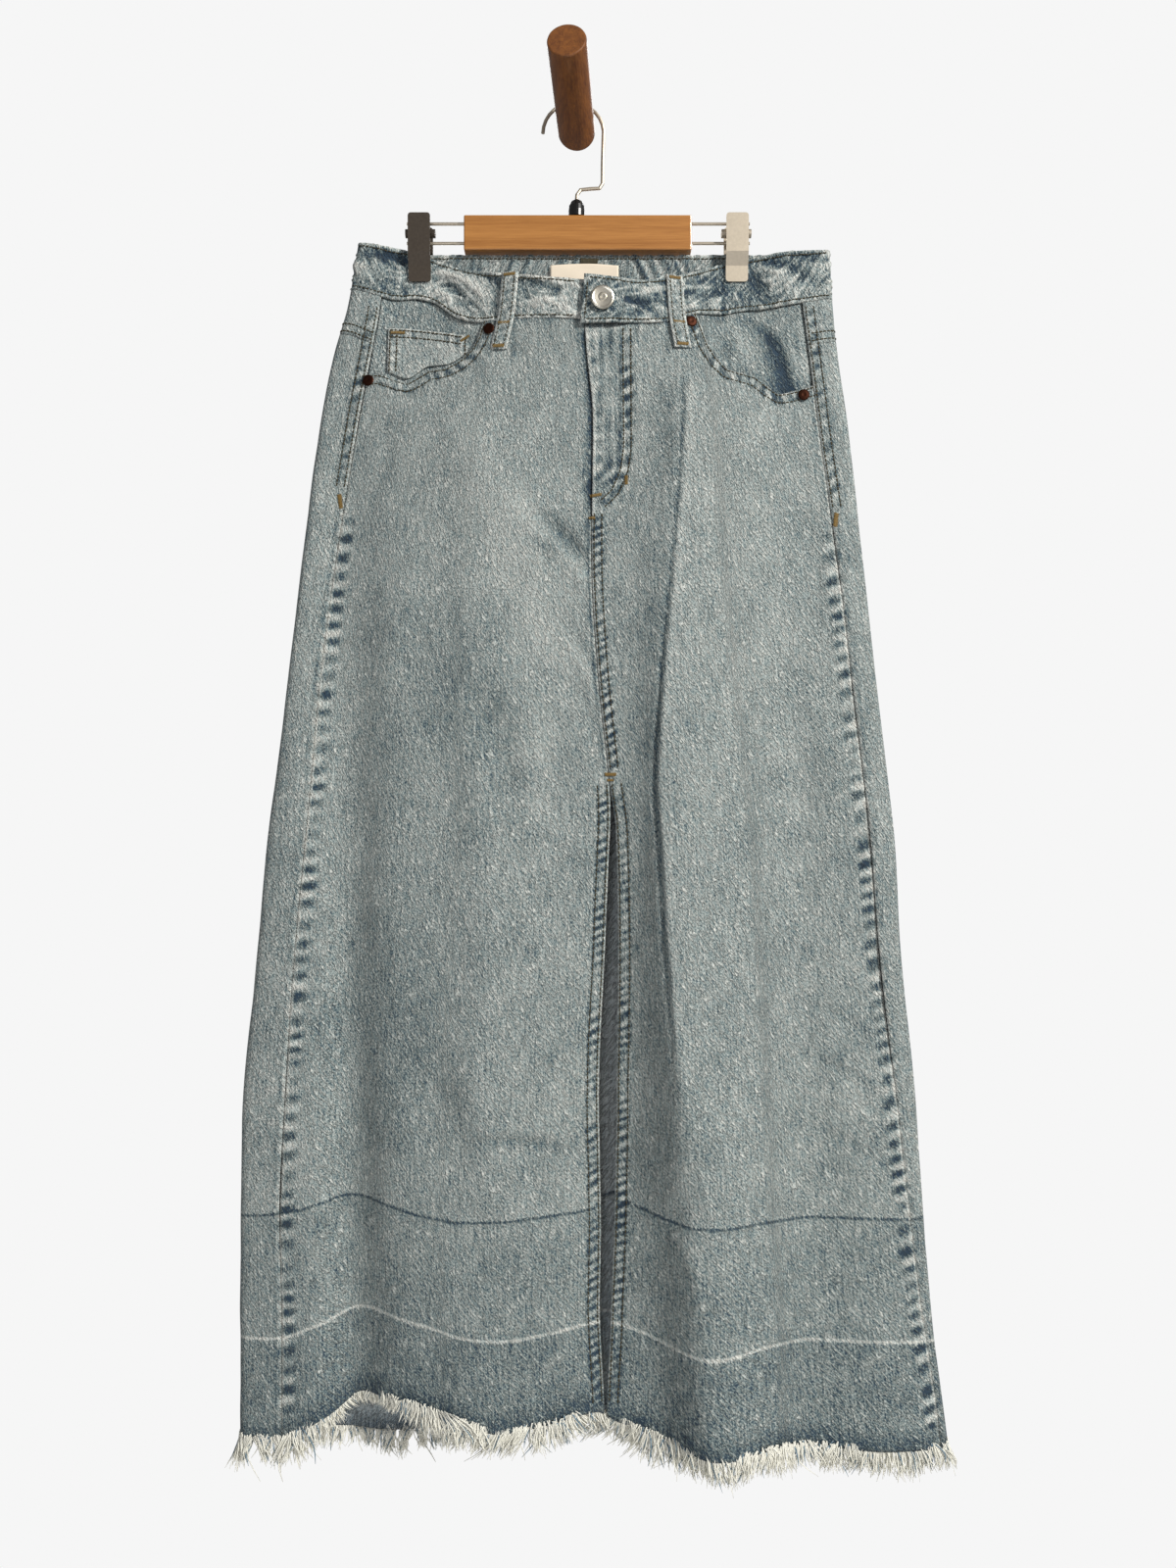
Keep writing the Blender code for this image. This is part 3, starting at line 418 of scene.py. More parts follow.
def seamRope(x, z):
    relief = np.zeros(np.broadcast(x, z).shape)
    shade = np.zeros(np.broadcast(x, z).shape)
    for seed, strip in enumerate(strips.values()):
        path = strip["path"]
        low, high = path.min(axis=0) - 24, path.max(axis=0) + 24
        if not np.any((x > low[0]) & (x < high[0]) & (z > low[1]) & (z < high[1])):
            continue
        off, run = nearPath(path, x, z)
        middle, reach, strength = strip["rope"]
        total = np.hypot(*np.diff(path, axis=0).T).sum()
        ends = ease(run, 0, 6) * ease(run, total, total - 6)
        near = np.exp(-(((off - middle) / reach) ** 4)) * ends * strength
        lean = 0.45 if strip["rows"] else 0.15
        wave = ropeWave(run, off, strip["pitch"], lean, seed + 1)
        uneven = 0.75 + 0.55 * softNoise(run, off * 0.5, 45, seed + 40)
        sharp = np.sign(wave) * abs(wave) ** 0.7
        # the puckers' colour, paler on ridges and darker in hollows, is seam roping together with painted
        # light and shade
        relief += 0.42 * wave * near * uneven
        shade += (0.85 * sharp - 0.22) * near * uneven
        # the folded edge rubs pale, with a line of painted shadow in its shelter
        edge = np.exp(-(((off - np.sign(middle) * 0.5) / 1.0) ** 2)) * ends
        shelterShadow = np.exp(-(((off + np.sign(middle) * 2.2) / 1.4) ** 2)) * ends
        shade += 0.75 * edge * min(strength, 1) - 0.55 * shelterShadow * min(strength, 1)
        for row in strip["rows"]:
            # each row's groove is painted in shadow
            groove = np.exp(-(((off - row) / 0.8) ** 2)) * ends
            shade -= 0.42 * groove
            relief -= 0.18 * groove
    off = x - shapeAt("centre", z)
    fly = ease(z, -172, -176) * ease(z, -316, -300) * np.exp(-(((off - 16) / 15) ** 4))
    blotch = softNoise(x, z * 0.3, 11, 77)
    relief += 0.25 * blotch * fly
    streak = softNoise(x, z * 0.08, 5, 79)
    shade += (0.25 * blotch + 0.35 * streak - 0.1) * fly
    # the fly's folded edge stands over the left panel and shades it
    flyRun = ease(z, -171, -180) * ease(z, -330, -312)
    shade += flyRun * (0.7 * np.exp(-(((off - 1.6) / 1.3) ** 2)) - 1.1 * np.exp(off / 3.2) * (off < 0))
    relief += flyRun * np.where(off > 0, 0.5 * np.exp(-off / 7), -1.1 * np.exp(off / 5))
    # the crinkles at the fly's foot are worn and also painted paler on their ridges, as light and shade
    knot = np.exp(-(((off - 9) / 15) ** 2) - ((z + 296) / 15) ** 2)
    knotted = softNoise(z - 0.5 * x, 0.3 * x, 7, 78)
    shade += knot * (1.2 * knotted - 0.2)
    relief += 0.8 * knot * knotted
    return relief, shade


# worn areas and painted light and shade on broad folds: x, z, reach across, reach down, lean, how pale
paleAndShadedPatches = [
    (-70, -290, 30, 60, 0.5, 0.1), (-34, -385, 26, 50, 0.4, 0.14), (-20, -346, 15, 8, 1.2, -0.3),
    (-30, -322, 20, 12, 1.0, 0.14), (120, -330, 50, 110, 0.0, 0.04), (100, -290, 45, 90, 0.0, 0.05),
    (-140, -560, 22, 260, 0.04, -0.05), (-18, -340, 30, 12, -0.6, -0.08), (-150, -205, 20, 20, 0, 0.1),
    (14, -332, 12, 12, 0, -0.2), (-195, -560, 16, 300, 0.12, 0.03), (-176, -165, 18, 30, 0, -0.22),
    (196, -165, 18, 36, 0, -0.22), (250, -760, 14, 220, -0.05, -0.08), (60, -420, 14, 200, 0, -0.08),
    (-56, -350, 40, 50, 0, 0.16), (-92, -455, 42, 60, 0, -0.22), (-24, -455, 26, 66, 0, 0.13),
    (-150, -720, 54, 90, 0, -0.22), (140, -450, 44, 90, 0, 0.08), (-215, -330, 26, 60, 0, -0.1),
    (216, -340, 26, 60, 0, -0.1), (-40, -1000, 300, 30, 0, -0.04),
]


def patchShadeAt(x, z):
    total = np.zeros(np.broadcast(x, z).shape)
    for x0, z0, across, down, lean, pale in paleAndShadedPatches:
        off = (x - x0) + lean * (z - z0)
        total += pale * np.exp(-((off / across) ** 2) - ((z - z0) / down) ** 2)
    return total


# the crest of the right panel's long fold: x and height
crestRows = np.array([
    (88, -196), (86, -254), (79, -346), (76, -377), (70, -454), (66, -531), (69, -577), (72.5, -646),
    (77, -708), (81, -754), (92, -815), (101, -860), (106, -905),
], float)


def sharpFold(x, z):
    off = x - curve(z, crestRows[:, 1], crestRows[:, 0])
    on = ease(z, -185, -250) * ease(z, -960, -820) * between(0.45, 1.0, ease(z, -260, -520))
    tent = np.where(off < 0, np.exp(off / 13), np.exp(-off / 38))
    notch = ease(z, -800, -640) * np.exp(-(((off + 3.2) / 1.7) ** 2))
    return on * (6.5 * tent - 2.0 * notch - 1.2)


def crestShade(x, z):
    # painted shade in a line just left of the crest and broadly beyond it, and a faint painted highlight
    # just right of it
    off = x - curve(z, crestRows[:, 1], crestRows[:, 0])
    on = ease(z, -185, -230) * ease(z, -790, -620)
    crest = -0.6 * np.exp(-(((off + 3.2) / 1.5) ** 2)) + 0.16 * np.exp(-(((off - 2) / 4) ** 2))
    return on * (crest - 0.07 * np.exp(-(((off + 14) / 12) ** 2)))


# the front loops' middles, on the panels, between the lines of painted shadow beside them and on the band
loopsAt = {"panel": (-58, 82), "beside": (-58.5, 82), "band": (-55, 79)}


def panelRelief(x, z):
    rope, shade = seamRope(x, z)
    crease = creaseRelief(frontCreases, x, z) + sharpFold(x, z)
    swell = 1.1 * softNoise(x, z, 150, 3) + 0.35 * softNoise(x * 1.3, z * 0.8, 48, 4)
    hemRipple = ease(z, -900, -1030) * 1.6 * np.sin(x / 17 + 1.4 * np.sin(x / 60))
    underBand = ease(z, -205, -160) * softNoise(x, z * 0.25, 13, 15)
    relief = rope + crease + swell + hemRipple + 0.5 * underBand
    # the cloth lies flat under the loops, with painted shadow beside them
    loopEnd = -196
    covered = sum(1 - ease(abs(x - place), 6, 12) for place in loopsAt["panel"])
    relief = np.where(z > loopEnd, np.minimum(relief, 0.5 + 3 * (1 - np.minimum(covered, 1))), relief)
    # painted light and shade: crease troughs darker and ridges paler, raised crinkles under the band paler
    tint = creaseRelief(frontCreases, x, z, shading=True)
    beside = sum(np.exp(-(((abs(x - place) - 9.5) / 1.8) ** 2)) for place in loopsAt["beside"])
    shade = shade - 0.4 * beside * ease(z, loopEnd, loopEnd + 6)
    shade = shade + 0.1 * tint + 0.12 * underBand + patchShadeAt(x, z) + crestShade(x, z)
    return relief, shade


def backRelief(x, z):
    crease = creaseRelief(backCreases, x, z)
    swell = 0.8 * softNoise(x, z, 140, 41) + 0.3 * softNoise(x, z, 50, 42)
    # creases are painted darker in their troughs and paler on ridges, as painted shade and light
    return np.minimum(crease + swell, 2.2), 0.1 * crease


def bandRelief(x, z):
    crease = creaseRelief(bandCreases, x, z)
    # crinkles fan out from the clips and the button
    lean = np.where(x < 5, -0.5, np.where(x < 126, 0.42, -0.6)) * (1 + 0.4 * np.sin(x / 19))
    ridge = np.maximum(0, 1 - abs(softNoise(x * 0.2, z - lean * x, 9, 51))) ** 4
    small = np.maximum(0, 1 - abs(softNoise(x * 0.3, z - 1.3 * lean * x, 5.5, 53))) ** 5
    fine = 1.15 * ridge + 0.45 * small - 0.55 + 0.2 * softNoise(x, z, 5, 52)
    button = 20
    free = ease(abs(x - button), 10, 13)
    for place in loopsAt["band"]:
        free = free * ease(abs(x - place), 7, 12)
    for place in hanger["clipX"]:
        free = free * ease(abs(x - place), 9, 12)
    relief = 1.1 * crease + 1.1 * fine
    # the left side is paler, and right of the button it is darker; painted shadow beside each loop and clip
    bandToneAndShadow = 0.42 * ease(x, -140, -112) * ease(x, 8, 0) - 0.2 * np.exp(-(((x - 46) / 18) ** 2))
    bandToneAndShadow = bandToneAndShadow - 0.1 * ease(x, 84, 92)
    for places, half in ((loopsAt["band"], 7.6), (hanger["clipX"], 10)):
        for place in places:
            bandToneAndShadow = bandToneAndShadow - 0.45 * np.exp(-(((abs(x - place) - half - 1) / 1.6) ** 2))
    # crinkles and creases are painted paler on ridges and darker in hollows, as light and shade
    shade = 0.5 * crease + 0.95 * fine + bandToneAndShadow - 0.03
    return np.where(relief > 0, free, 0.3 + 0.7 * free) * relief, shade


def clothMesh(name, inner, outer, materials, shades):
    rows, columns = inner.shape[:2]
    count = rows * columns
    index = np.arange(count).reshape(rows, columns)
    corners = [index[:-1, :-1], index[1:, :-1], index[1:, 1:], index[:-1, 1:]]
    quads = np.stack(corners, axis=-1).reshape(-1, 4)
    rim = np.concatenate([index[:-1, 0], index[-1, :-1], index[:0:-1, -1], index[0, :0:-1]])
    after = np.roll(rim, -1)
    edge = np.stack([rim, rim + count, after + count, after], axis=-1)
    faces = np.concatenate([quads[:, ::-1] + count, quads, edge])
    mesh = bpy.data.meshes.new(name)
    points = np.concatenate([inner.reshape(-1, 3), outer.reshape(-1, 3)]) * mm
    mesh.vertices.add(len(points))
    mesh.vertices.foreach_set("co", points.ravel())
    mesh.loops.add(faces.size)
    mesh.loops.foreach_set("vertex_index", faces.ravel().astype(np.int32))
    mesh.polygons.add(len(faces))
    mesh.polygons.foreach_set("loop_start", np.arange(len(faces), dtype=np.int32) * 4)
    for material in materials:
        mesh.materials.append(material)
    if len(materials) > 1:
        slots = np.repeat([0, 1, 0], [len(quads), len(quads), len(edge)])
        mesh.polygons.foreach_set("material_index", slots.astype(np.int32))
    mesh.polygons.foreach_set("use_smooth", np.ones(len(faces), bool))
    mesh.update(calc_edges=True)
    # lay the weave by lengths along the cloth, so that its scale is true
    middle = outer[:, columns // 2]
    across = np.concatenate([[0], np.cumsum(np.linalg.norm(np.diff(middle, axis=0), axis=-1))])
    u = np.repeat(-across[:, None], columns, axis=1)  # runs to the right as seen from outside
    v = outer[..., 2]
    uv = np.stack([np.tile(u.ravel(), 2), np.tile(v.ravel(), 2)], axis=-1) * mm
    layer = mesh.uv_layers.new(name="cloth")
    layer.data.foreach_set("uv", uv[faces.ravel()].ravel())
    for label, values in shades.items():
        attribute = mesh.attributes.new(label, "FLOAT", "POINT")
        attribute.data.foreach_set("value", np.tile(np.asarray(values, float).ravel(), 2))
    return mesh


def addPiece(name, mesh, stands):
    piece = bpy.data.objects.new(name, mesh)
    bpy.context.scene.collection.objects.link(piece)
    if stands:
        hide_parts(*stands)
    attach(piece, body)
    return piece


def makeCloth(
    name, cells, where, lay, thick, materials, stands, relief, wraps=False, hemLines=True,
    edges=(0, 0, 0, 0),
):
    # a sheet of cloth between two grids: the relief moves both, and lay is how far it is off the skin
    across, up = [np.linspace(0, 1, count + 1) for count in cells]
    u, v = np.meshgrid(across, up, indexing="ij")
    around, z = where(u, v)
    if around[-1, 0] < around[0, 0]:
        around, z = around[::-1], z[::-1]
    x = frontX(around, z)
    distance = lay(around, z) if callable(lay) else lay + np.zeros_like(z)
    rise, shade = relief(x, z, behindShare(around)) if wraps else relief(x, z)
    distance = distance + rise
    flat = skinAt(around, z, distance)
    # worn pale where the strength is above zero, painted shadow where it is below zero: left, right, low and
    # top edge
    for strength, edge in zip(edges, (flat[:1], flat[-1:], flat[:, :1], flat[:, -1:])):
        away = np.linalg.norm(flat - edge, axis=-1)
        shade = shade + strength * np.exp(-((away / 1.7) ** 2))
    nowhere = z * 0 + 100
    shades = {
        # the first attribute holds worn pale marks together with painted light and painted shade
        "wearAndPaintedShade": shade,
        "oldHem": z - along(oldHemRows, x) if hemLines else nowhere,
        "oldCrease": z - along(oldCreaseRows, x) if hemLines else nowhere,
        "rawEdge": (z - z[:, :1]) if hemLines else nowhere,
    }
    outer = skinAt(around, z, distance + thick)
    return addPiece(name, clothMesh(name, flat, outer, materials, shades), stands)


def hexColour(text):
    channels = [int(text[i : i + 2], 16) / 255 for i in (1, 3, 5)]
    return (*[c / 12.92 if c <= 0.04045 else ((c + 0.055) / 1.055) ** 2.4 for c in channels], 1.0)


def addNode(tree, kind, settings=None, links=None):
    node = tree.nodes.new(kind)
    for key, value in (settings or {}).items():
        if isinstance(key, str) and hasattr(node, key):
            setattr(node, key, value)
        else:
            node.inputs[key].default_value = value
    for key, source in (links or {}).items():
        tree.links.new(source, node.inputs[key])
    return node


def newMaterial(name):
    material = bpy.data.materials.new(name)
    material.use_nodes = True
    return material, material.node_tree, material.node_tree.nodes["Principled BSDF"]


denimLook = {
    "deep": "#24394a",      # indigo left in the shelter of seams, also the darkest painted shade
    "blue": "#697a7c",
    "mid": "#9da6a4",
    "worn": "#bfc6c3",
    "bare": "#e3e3dc",      # rubbed through to undyed cotton
    "hemDark": 0.075,       # cloth below the old hem is less washed
    "roughness": 0.88,      # matt cotton
}


def calc(tree, operation, *values, clamp=False):
    # one sum on numbers and sockets
    node = addNode(tree, "ShaderNodeMath", {"operation": operation, "use_clamp": clamp})
    for place, value in enumerate(values):
        if isinstance(value, (int, float)):
            node.inputs[place].default_value = value
        else:
            tree.links.new(value, node.inputs[place])
    return node.outputs[0]


def smoothStep(tree, value, low, high, first=0.0, last=1.0):
    span = {"From Min": low, "From Max": high, "To Min": first, "To Max": last}
    return addNode(
        tree, "ShaderNodeMapRange", {"interpolation_type": "SMOOTHSTEP", **span}, {"Value": value}
    ).outputs[0]


def setRamp(ramp, stops):
    while len(ramp.color_ramp.elements) < len(stops):
        ramp.color_ramp.elements.new(0.5)
    for element, (place, colour) in zip(ramp.color_ramp.elements, stops):
        element.position, element.color = place, colour


def makeDenim(name, look, parts):
    # stone-washed 12 oz denim: pale slubs on blue-grey twill, darker where seams kept the dye and in painted
    # shade
    material, tree, shader = newMaterial(name)
    uv = addNode(tree, "ShaderNodeUVMap", {"uv_map": "cloth"})
    toMm = {"operation": "SCALE", "Scale": 1 / mm}
    inMm = addNode(tree, "ShaderNodeVectorMath", toMm, {0: uv.outputs[0]})

    def stretched(lean, size, detail, offset):
        # noise of this size in mm, across and along, leaning from upright
        turned = addNode(
            tree, "ShaderNodeMapping",
            {"vector_type": "TEXTURE", "Rotation": (0, 0, math.radians(lean)),
             "Location": (offset, offset, 0), "Scale": (*size, 1)},
            {"Vector": inMm.outputs[0]},
        )
        return addNode(
            tree, "ShaderNodeTexNoise",
            {"noise_dimensions": "2D", "Scale": 1.0, "Detail": detail, "Roughness": 0.6},
            {"Vector": turned.outputs[0]},
        ).outputs["Fac"]

    def attribute(label):
        return addNode(tree, "ShaderNodeAttribute", {"attribute_name": label}).outputs["Fac"]

    # slubs stand proud and lean with the twill, drawn 1.9 mm wide because the real 0.8 mm would not show
    slub = stretched(34, (1.9, 7.6), 2.0, 3.0)
    proud = smoothStep(tree, slub, 0.46, 0.7)
    yarn = stretched(0, (1.2, 22.0), 1.0, 11.0)
    cloud = stretched(12, (30.0, 44.0), 3.0, 23.0)
    grain = stretched(30, (1.0, 1.7), 3.0, 31.0)
    total = calc(tree, "MULTIPLY", attribute("wearAndPaintedShade"), 0.55)
    for source, strength in zip((slub, yarn, cloud, grain), parts):
        level = calc(tree, "SUBTRACT", source, 0.5)
        total = calc(tree, "MULTIPLY_ADD", level, strength, total)

    def band(label, low, high):
        # 1 between these heights above a line, in mm, with a wavering edge
        source = calc(tree, "ADD", attribute(label), calc(tree, "MULTIPLY_ADD", grain, 2.6, -1.3))
        middle, half = (low + high) / 2, (high - low) / 2
        size = calc(tree, "ABSOLUTE", calc(tree, "SUBTRACT", source, middle))
        return smoothStep(tree, size, half + 0.9, max(half - 0.9, 0.0))

    below = -400  # under the hem
    shifts = [
        (band("oldHem", -1.1, 1.1), -0.42), (band("oldCrease", -1.2, 1.2), 0.4),
        (band("oldHem", below, -1.0), -look["hemDark"]), (band("oldCrease", below, -2.0), -0.07),
        (smoothStep(tree, attribute("rawEdge"), 0.0, 24.0, 1.0, 0.0), -0.27),
    ]
    for source, strength in shifts:
        total = calc(tree, "MULTIPLY_ADD", source, strength, total)
    ramp = addNode(tree, "ShaderNodeValToRGB", {}, {"Fac": calc(tree, "ADD", total, 0.5, clamp=True)})
    stops = ((0.0, "deep"), (0.24, "blue"), (0.5, "mid"), (0.72, "worn"), (1.0, "bare"))
    setRamp(ramp, [(place, hexColour(look[key])) for place, key in stops])
    tree.links.new(ramp.outputs["Color"], shader.inputs["Base Color"])
    height = calc(tree, "MULTIPLY_ADD", grain, 0.35, proud)
    bump = addNode(tree, "ShaderNodeBump", {"Strength": 1.0, "Distance": 0.0028}, {"Height": height})
    tree.links.new(bump.outputs[0], shader.inputs["Normal"])
    shader.inputs["Roughness"].default_value = look["roughness"]
    shader.inputs["Sheen Weight"].default_value = 0.12
    shader.inputs["Sheen Roughness"].default_value = 0.6
    shader.inputs["Specular IOR Level"].default_value = 0.25
    return material


# how strongly slubs, upright yarns, clouds and grain show
denim = makeDenim("stoneWashedDenim", denimLook, (1.15, 0.6, 0.3, 1.55))
wrongSide = {"blue": "#9aa5aa", "mid": "#bcc2c2", "worn": "#cdd1cf", "bare": "#dededa"}  # mostly weft
denimBack = makeDenim("denimWrongSide", {**denimLook, **wrongSide}, (0.3, 0.3, 0.2, 0.3))
print("denim ready")


def makePlain(name, colour, roughness, metallic=0.0, coat=0.0, grainMm=1.0, shift=0.25, bumpMm=0.05):
    # a surface with fine mottling of its own colour
    material, tree, shader = newMaterial(name)
    place = addNode(tree, "ShaderNodeTexCoord")
    noise = addNode(
        tree, "ShaderNodeTexNoise", {"Scale": 1000 / grainMm, "Detail": 3.0, "Roughness": 0.6},
        {"Vector": place.outputs["Object"]},
    )
    base = hexColour(colour)
    dark = tuple(c * (1 - shift) for c in base[:3]) + (1.0,)
    light = tuple(min(1.0, c * (1 + shift)) for c in base[:3]) + (1.0,)
    ramp = addNode(tree, "ShaderNodeValToRGB", {}, {"Fac": noise.outputs["Fac"]})
    setRamp(ramp, [(0.3, dark), (0.7, light)])
    tree.links.new(ramp.outputs["Color"], shader.inputs["Base Color"])
    if bumpMm:
        depth = {"Strength": 0.4, "Distance": bumpMm * mm}
        bump = addNode(tree, "ShaderNodeBump", depth, {"Height": noise.outputs["Fac"]})
        tree.links.new(bump.outputs[0], shader.inputs["Normal"])
    shader.inputs["Roughness"].default_value = roughness
    shader.inputs["Metallic"].default_value = metallic
    shader.inputs["Coat Weight"].default_value = coat
    return material


def makeWood(name, light, dark, along, grainMm, roughness):
    # lacquered hardwood: long streaks along the grain, faint pores
    material, tree, shader = newMaterial(name)
    place = addNode(tree, "ShaderNodeTexCoord")
    scale = [1000 / grainMm] * 3
    scale[along] = 1000 / (grainMm * 34)
    streaks = addNode(tree, "ShaderNodeMapping", {"Scale": scale}, {"Vector": place.outputs["Object"]})
    noise = addNode(
        tree, "ShaderNodeTexNoise", {"Scale": 1.0, "Detail": 4.0, "Roughness": 0.65, "Distortion": 0.3},
        {"Vector": streaks.outputs[0]},
    )
    scale[along] = 1000 / (grainMm * 60)
    wide = [size * 0.22 for size in scale]
    broad = addNode(tree, "ShaderNodeMapping", {"Scale": wide}, {"Vector": place.outputs["Object"]})
    bands = addNode(tree, "ShaderNodeTexNoise", {"Scale": 1.0, "Detail": 2.0}, {"Vector": broad.outputs[0]})
    fine = calc(tree, "MULTIPLY", noise.outputs["Fac"], 0.55)
    both = calc(tree, "MULTIPLY_ADD", bands.outputs["Fac"], 0.45, fine)
    ramp = addNode(tree, "ShaderNodeValToRGB", {}, {"Fac": both})
    setRamp(ramp, [(0.34, hexColour(dark)), (0.62, hexColour(light))])
    tree.links.new(ramp.outputs["Color"], shader.inputs["Base Color"])
    depth = {"Strength": 0.25, "Distance": 0.2 * mm}
    bump = addNode(tree, "ShaderNodeBump", depth, {"Height": noise.outputs["Fac"]})
    tree.links.new(bump.outputs[0], shader.inputs["Normal"])
    shader.inputs["Roughness"].default_value = roughness
    shader.inputs["Coat Weight"].default_value = 0.15
    return material


darkThread = makePlain("oliveThread", "#39331f", 0.75, grainMm=0.5)      # worn dull topstitching
goldThread = makePlain("goldThread", "#7a6130", 0.7, grainMm=0.5)        # bar tacks kept their colour
paleCotton = makePlain("undyedCotton", "#edebe0", 0.9, grainMm=0.8, shift=0.06)   # cream frayed weft
blueCotton = makePlain("dyedCotton", "#6f8796", 0.9, grainMm=0.8, shift=0.2)      # a few blue warp yarns
labelCotton = makePlain("labelCotton", "#e6d8c4", 0.8, grainMm=0.6, shift=0.05)   # flat warm cream
# soft-edged highlights on nickel, near-black rivets with a brown tint, duller plated steel
nickel = makePlain("satinNickel", "#c9c3b6", 0.34, metallic=1.0, grainMm=0.8, shift=0.1, bumpMm=0.04)
copper = makePlain("agedCopper", "#331d15", 0.5, metallic=1.0, grainMm=0.7, shift=0.3)
steel = makePlain("platedSteel", "#c2b7a6", 0.52, metallic=1.0, grainMm=2.0, shift=0.06, bumpMm=0.0)
# a darker copy of the plated steel for the left clip: painted shade for its dark reflections
shadedSteelCopy = makePlain("shadedSteelCopy", "#5a524a", 0.6, metallic=1.0, grainMm=2.0, shift=0.1, bumpMm=0.0)
blackPlastic = makePlain("mouldedBlack", "#0e0e0f", 0.3, grainMm=2.0, shift=0.1, bumpMm=0.0)  # glossy bead
zipTape = makePlain("navyTape", "#2b3440", 0.85, grainMm=0.6)            # matt and nearly black
brass = makePlain("zipBrass", "#a98d52", 0.35, metallic=1.0, grainMm=1.0, shift=0.1)
pegWood = makeWood("oiledOak", "#7f4c1c", "#52290a", 1, 1.1, 0.5)        # streaks run out from the wall
barWood = makeWood("lacqueredBeech", "#b27a3e", "#8f5a26", 0, 1.0, 0.4)  # streaks run along the bar


def leftFrontX(u, z):
    return between(shapeAt("leftSeam", z) + cloth["cut"], shapeAt("centre", z) - shapeAt("slit", z), u)


def rightFrontX(u, z):
    return between(shapeAt("centre", z) + shapeAt("slit", z), shapeAt("rightSeam", z) - cloth["cut"], u)


def panelTop(around, x, bandRows, pocketRows, first, last):
    top = bandEdge(bandRows, 2, around) - cloth["cut"]
    return np.where((x >= first) & (x <= last), np.minimum(top, along(pocketRows, x)), top)


def frontWhere(xAt, topAt):
    def where(u, v):
        top = settle(lambda z: topAt(frontAt(xAt(u, z), z), xAt(u, z)))
        low = along(hemRows, xAt(u, hemLevel))
        z = between(low, top, v)
        return frontAt(xAt(u, z), z), z

    return where


def backAround(fraction, z):
    start = frontAt(shapeAt("leftSeam", z) - cloth["cut"], z)
    end = 1.0 + frontAt(shapeAt("rightSeam", z) + cloth["cut"], z)
    return between(start, end, fraction)


def backWhere(u, v):
    z = between(along(backRows, u, 1), along(backRows, u, 2) - cloth["cut"], v)
    return backAround(u, z), z


def yokeWhere(u, v):
    low = along(backRows, u, 2) + cloth["cut"]
    high = settle(lambda z: loopEdge(2, backBand["seam"], backAround(u, z))) - cloth["cut"]
    z = between(low, high, v)
    return backAround(u, z), z


leftWhere = frontWhere(leftFrontX, lambda a, x: panelTop(a, x, leftBand, leftPocket, -171, -73))
rightWhere = frontWhere(rightFrontX, lambda a, x: panelTop(a, x, rightBand, rightPocket, 95, 193))
twoSides = [denim, denimBack]
coarser = 1.0
frontCell, backCell = cloth["cell"] * coarser, cloth["backCell"] * coarser


def cellsFor(width, height, size):
    return max(2, round(width / size)), max(2, round(height / size))


# on both front panels the middle edge is worn pale and the top edge gets painted shadow under the waistband
frontLeft = makeCloth(
    "frontPanelLeft", cellsFor(270, 880, frontCell), leftWhere, 0.0, cloth["thick"], twoSides,
    ["front_panel_left"], panelRelief, edges=(0, 0.5, 0, -0.4),
)
frontRight = makeCloth(
    "frontPanelRight", cellsFor(280, 890, frontCell), rightWhere, 0.0, cloth["thick"], twoSides,
    ["front_panel_right"], panelRelief, edges=(0.4, 0, 0, -0.4),
)


def wrapRelief(x, z, behind=0.0):
    # round the side folds to the seams on the front, and plainer behind
    away, shade = backRelief(x, z)
    rope, ropeShade = seamRope(x, z)
    edge = np.minimum(abs(x - shapeAt("leftSeam", z)), abs(x - shapeAt("rightSeam", z)))
    near = ease(edge, 45, 20) * (1 - behind)
    return away * (1 - near) + rope * near, shade + ropeShade * near


backPanel = makeCloth(
    "backPanel", cellsFor(600, 850, backCell), backWhere, 0.0, cloth["thick"], twoSides,
    ["back_panel"], wrapRelief, wraps=True,
)
backYoke = makeCloth(
    "backYoke", cellsFor(440, 50, backCell), yokeWhere, 0.0, cloth["thick"], twoSides,
    ["back_yoke"], wrapRelief, wraps=True, hemLines=False,
)
print("panels sewn")


def bandWhere(first, last, top, seam):
    def where(u, v):
        around = between(first, last, u)
        return around, between(seam(around) + cloth["cut"], top(around), v)

    return where


def rightBandLay(around, z):
    start = shapeAt("centre", bandLevel) + backBand["overlap"] + 2
    raised = cloth["band"] + cloth["gap"]
    return cloth["bandLay"] + raised * (1 - ease(frontX(around, z), start, start + 18))


def backBandRelief(x, z):
    # elastic gathers the back waistband into narrow upright ripples, painted paler on top and darker between
    # as light and shade
    ripple = softNoise(x + 0.45 * (z + 110) * np.sign(x - 8), z * 0.12, 7.5, 61)
    on = ease(abs(x - 8), 165, 135)
    return 0.9 * ripple * on, 0.55 * ripple * on - 0.08


centreX = shapeAt("centre", bandLevel)
bandPieces = {
    "waistbandFrontLeft": (
        "waistband_front_left", cloth["bandLay"], bandRelief, (210, 38),
        bandWhere(0.4995, frontAt(centreX + backBand["overlap"], bandLevel),
                  lambda a: bandEdge(leftBand, 1, a), lambda a: bandEdge(leftBand, 2, a)),
    ),
    "waistbandFrontRight": (
        "waistband_front_right", rightBandLay, bandRelief, (200, 38),
        bandWhere(frontAt(centreX, bandLevel), 0.0005,
                  lambda a: bandEdge(rightBand, 1, a), lambda a: bandEdge(rightBand, 2, a)),
    ),
    "waistbandBack": (
        "waistband_back", cloth["bandLay"], backBandRelief, (400, 38),
        bandWhere(0.5005, 0.9995, lambda a: loopEdge(1, backBand["top"], a),
                  lambda a: loopEdge(2, backBand["seam"], a)),
    ),
}
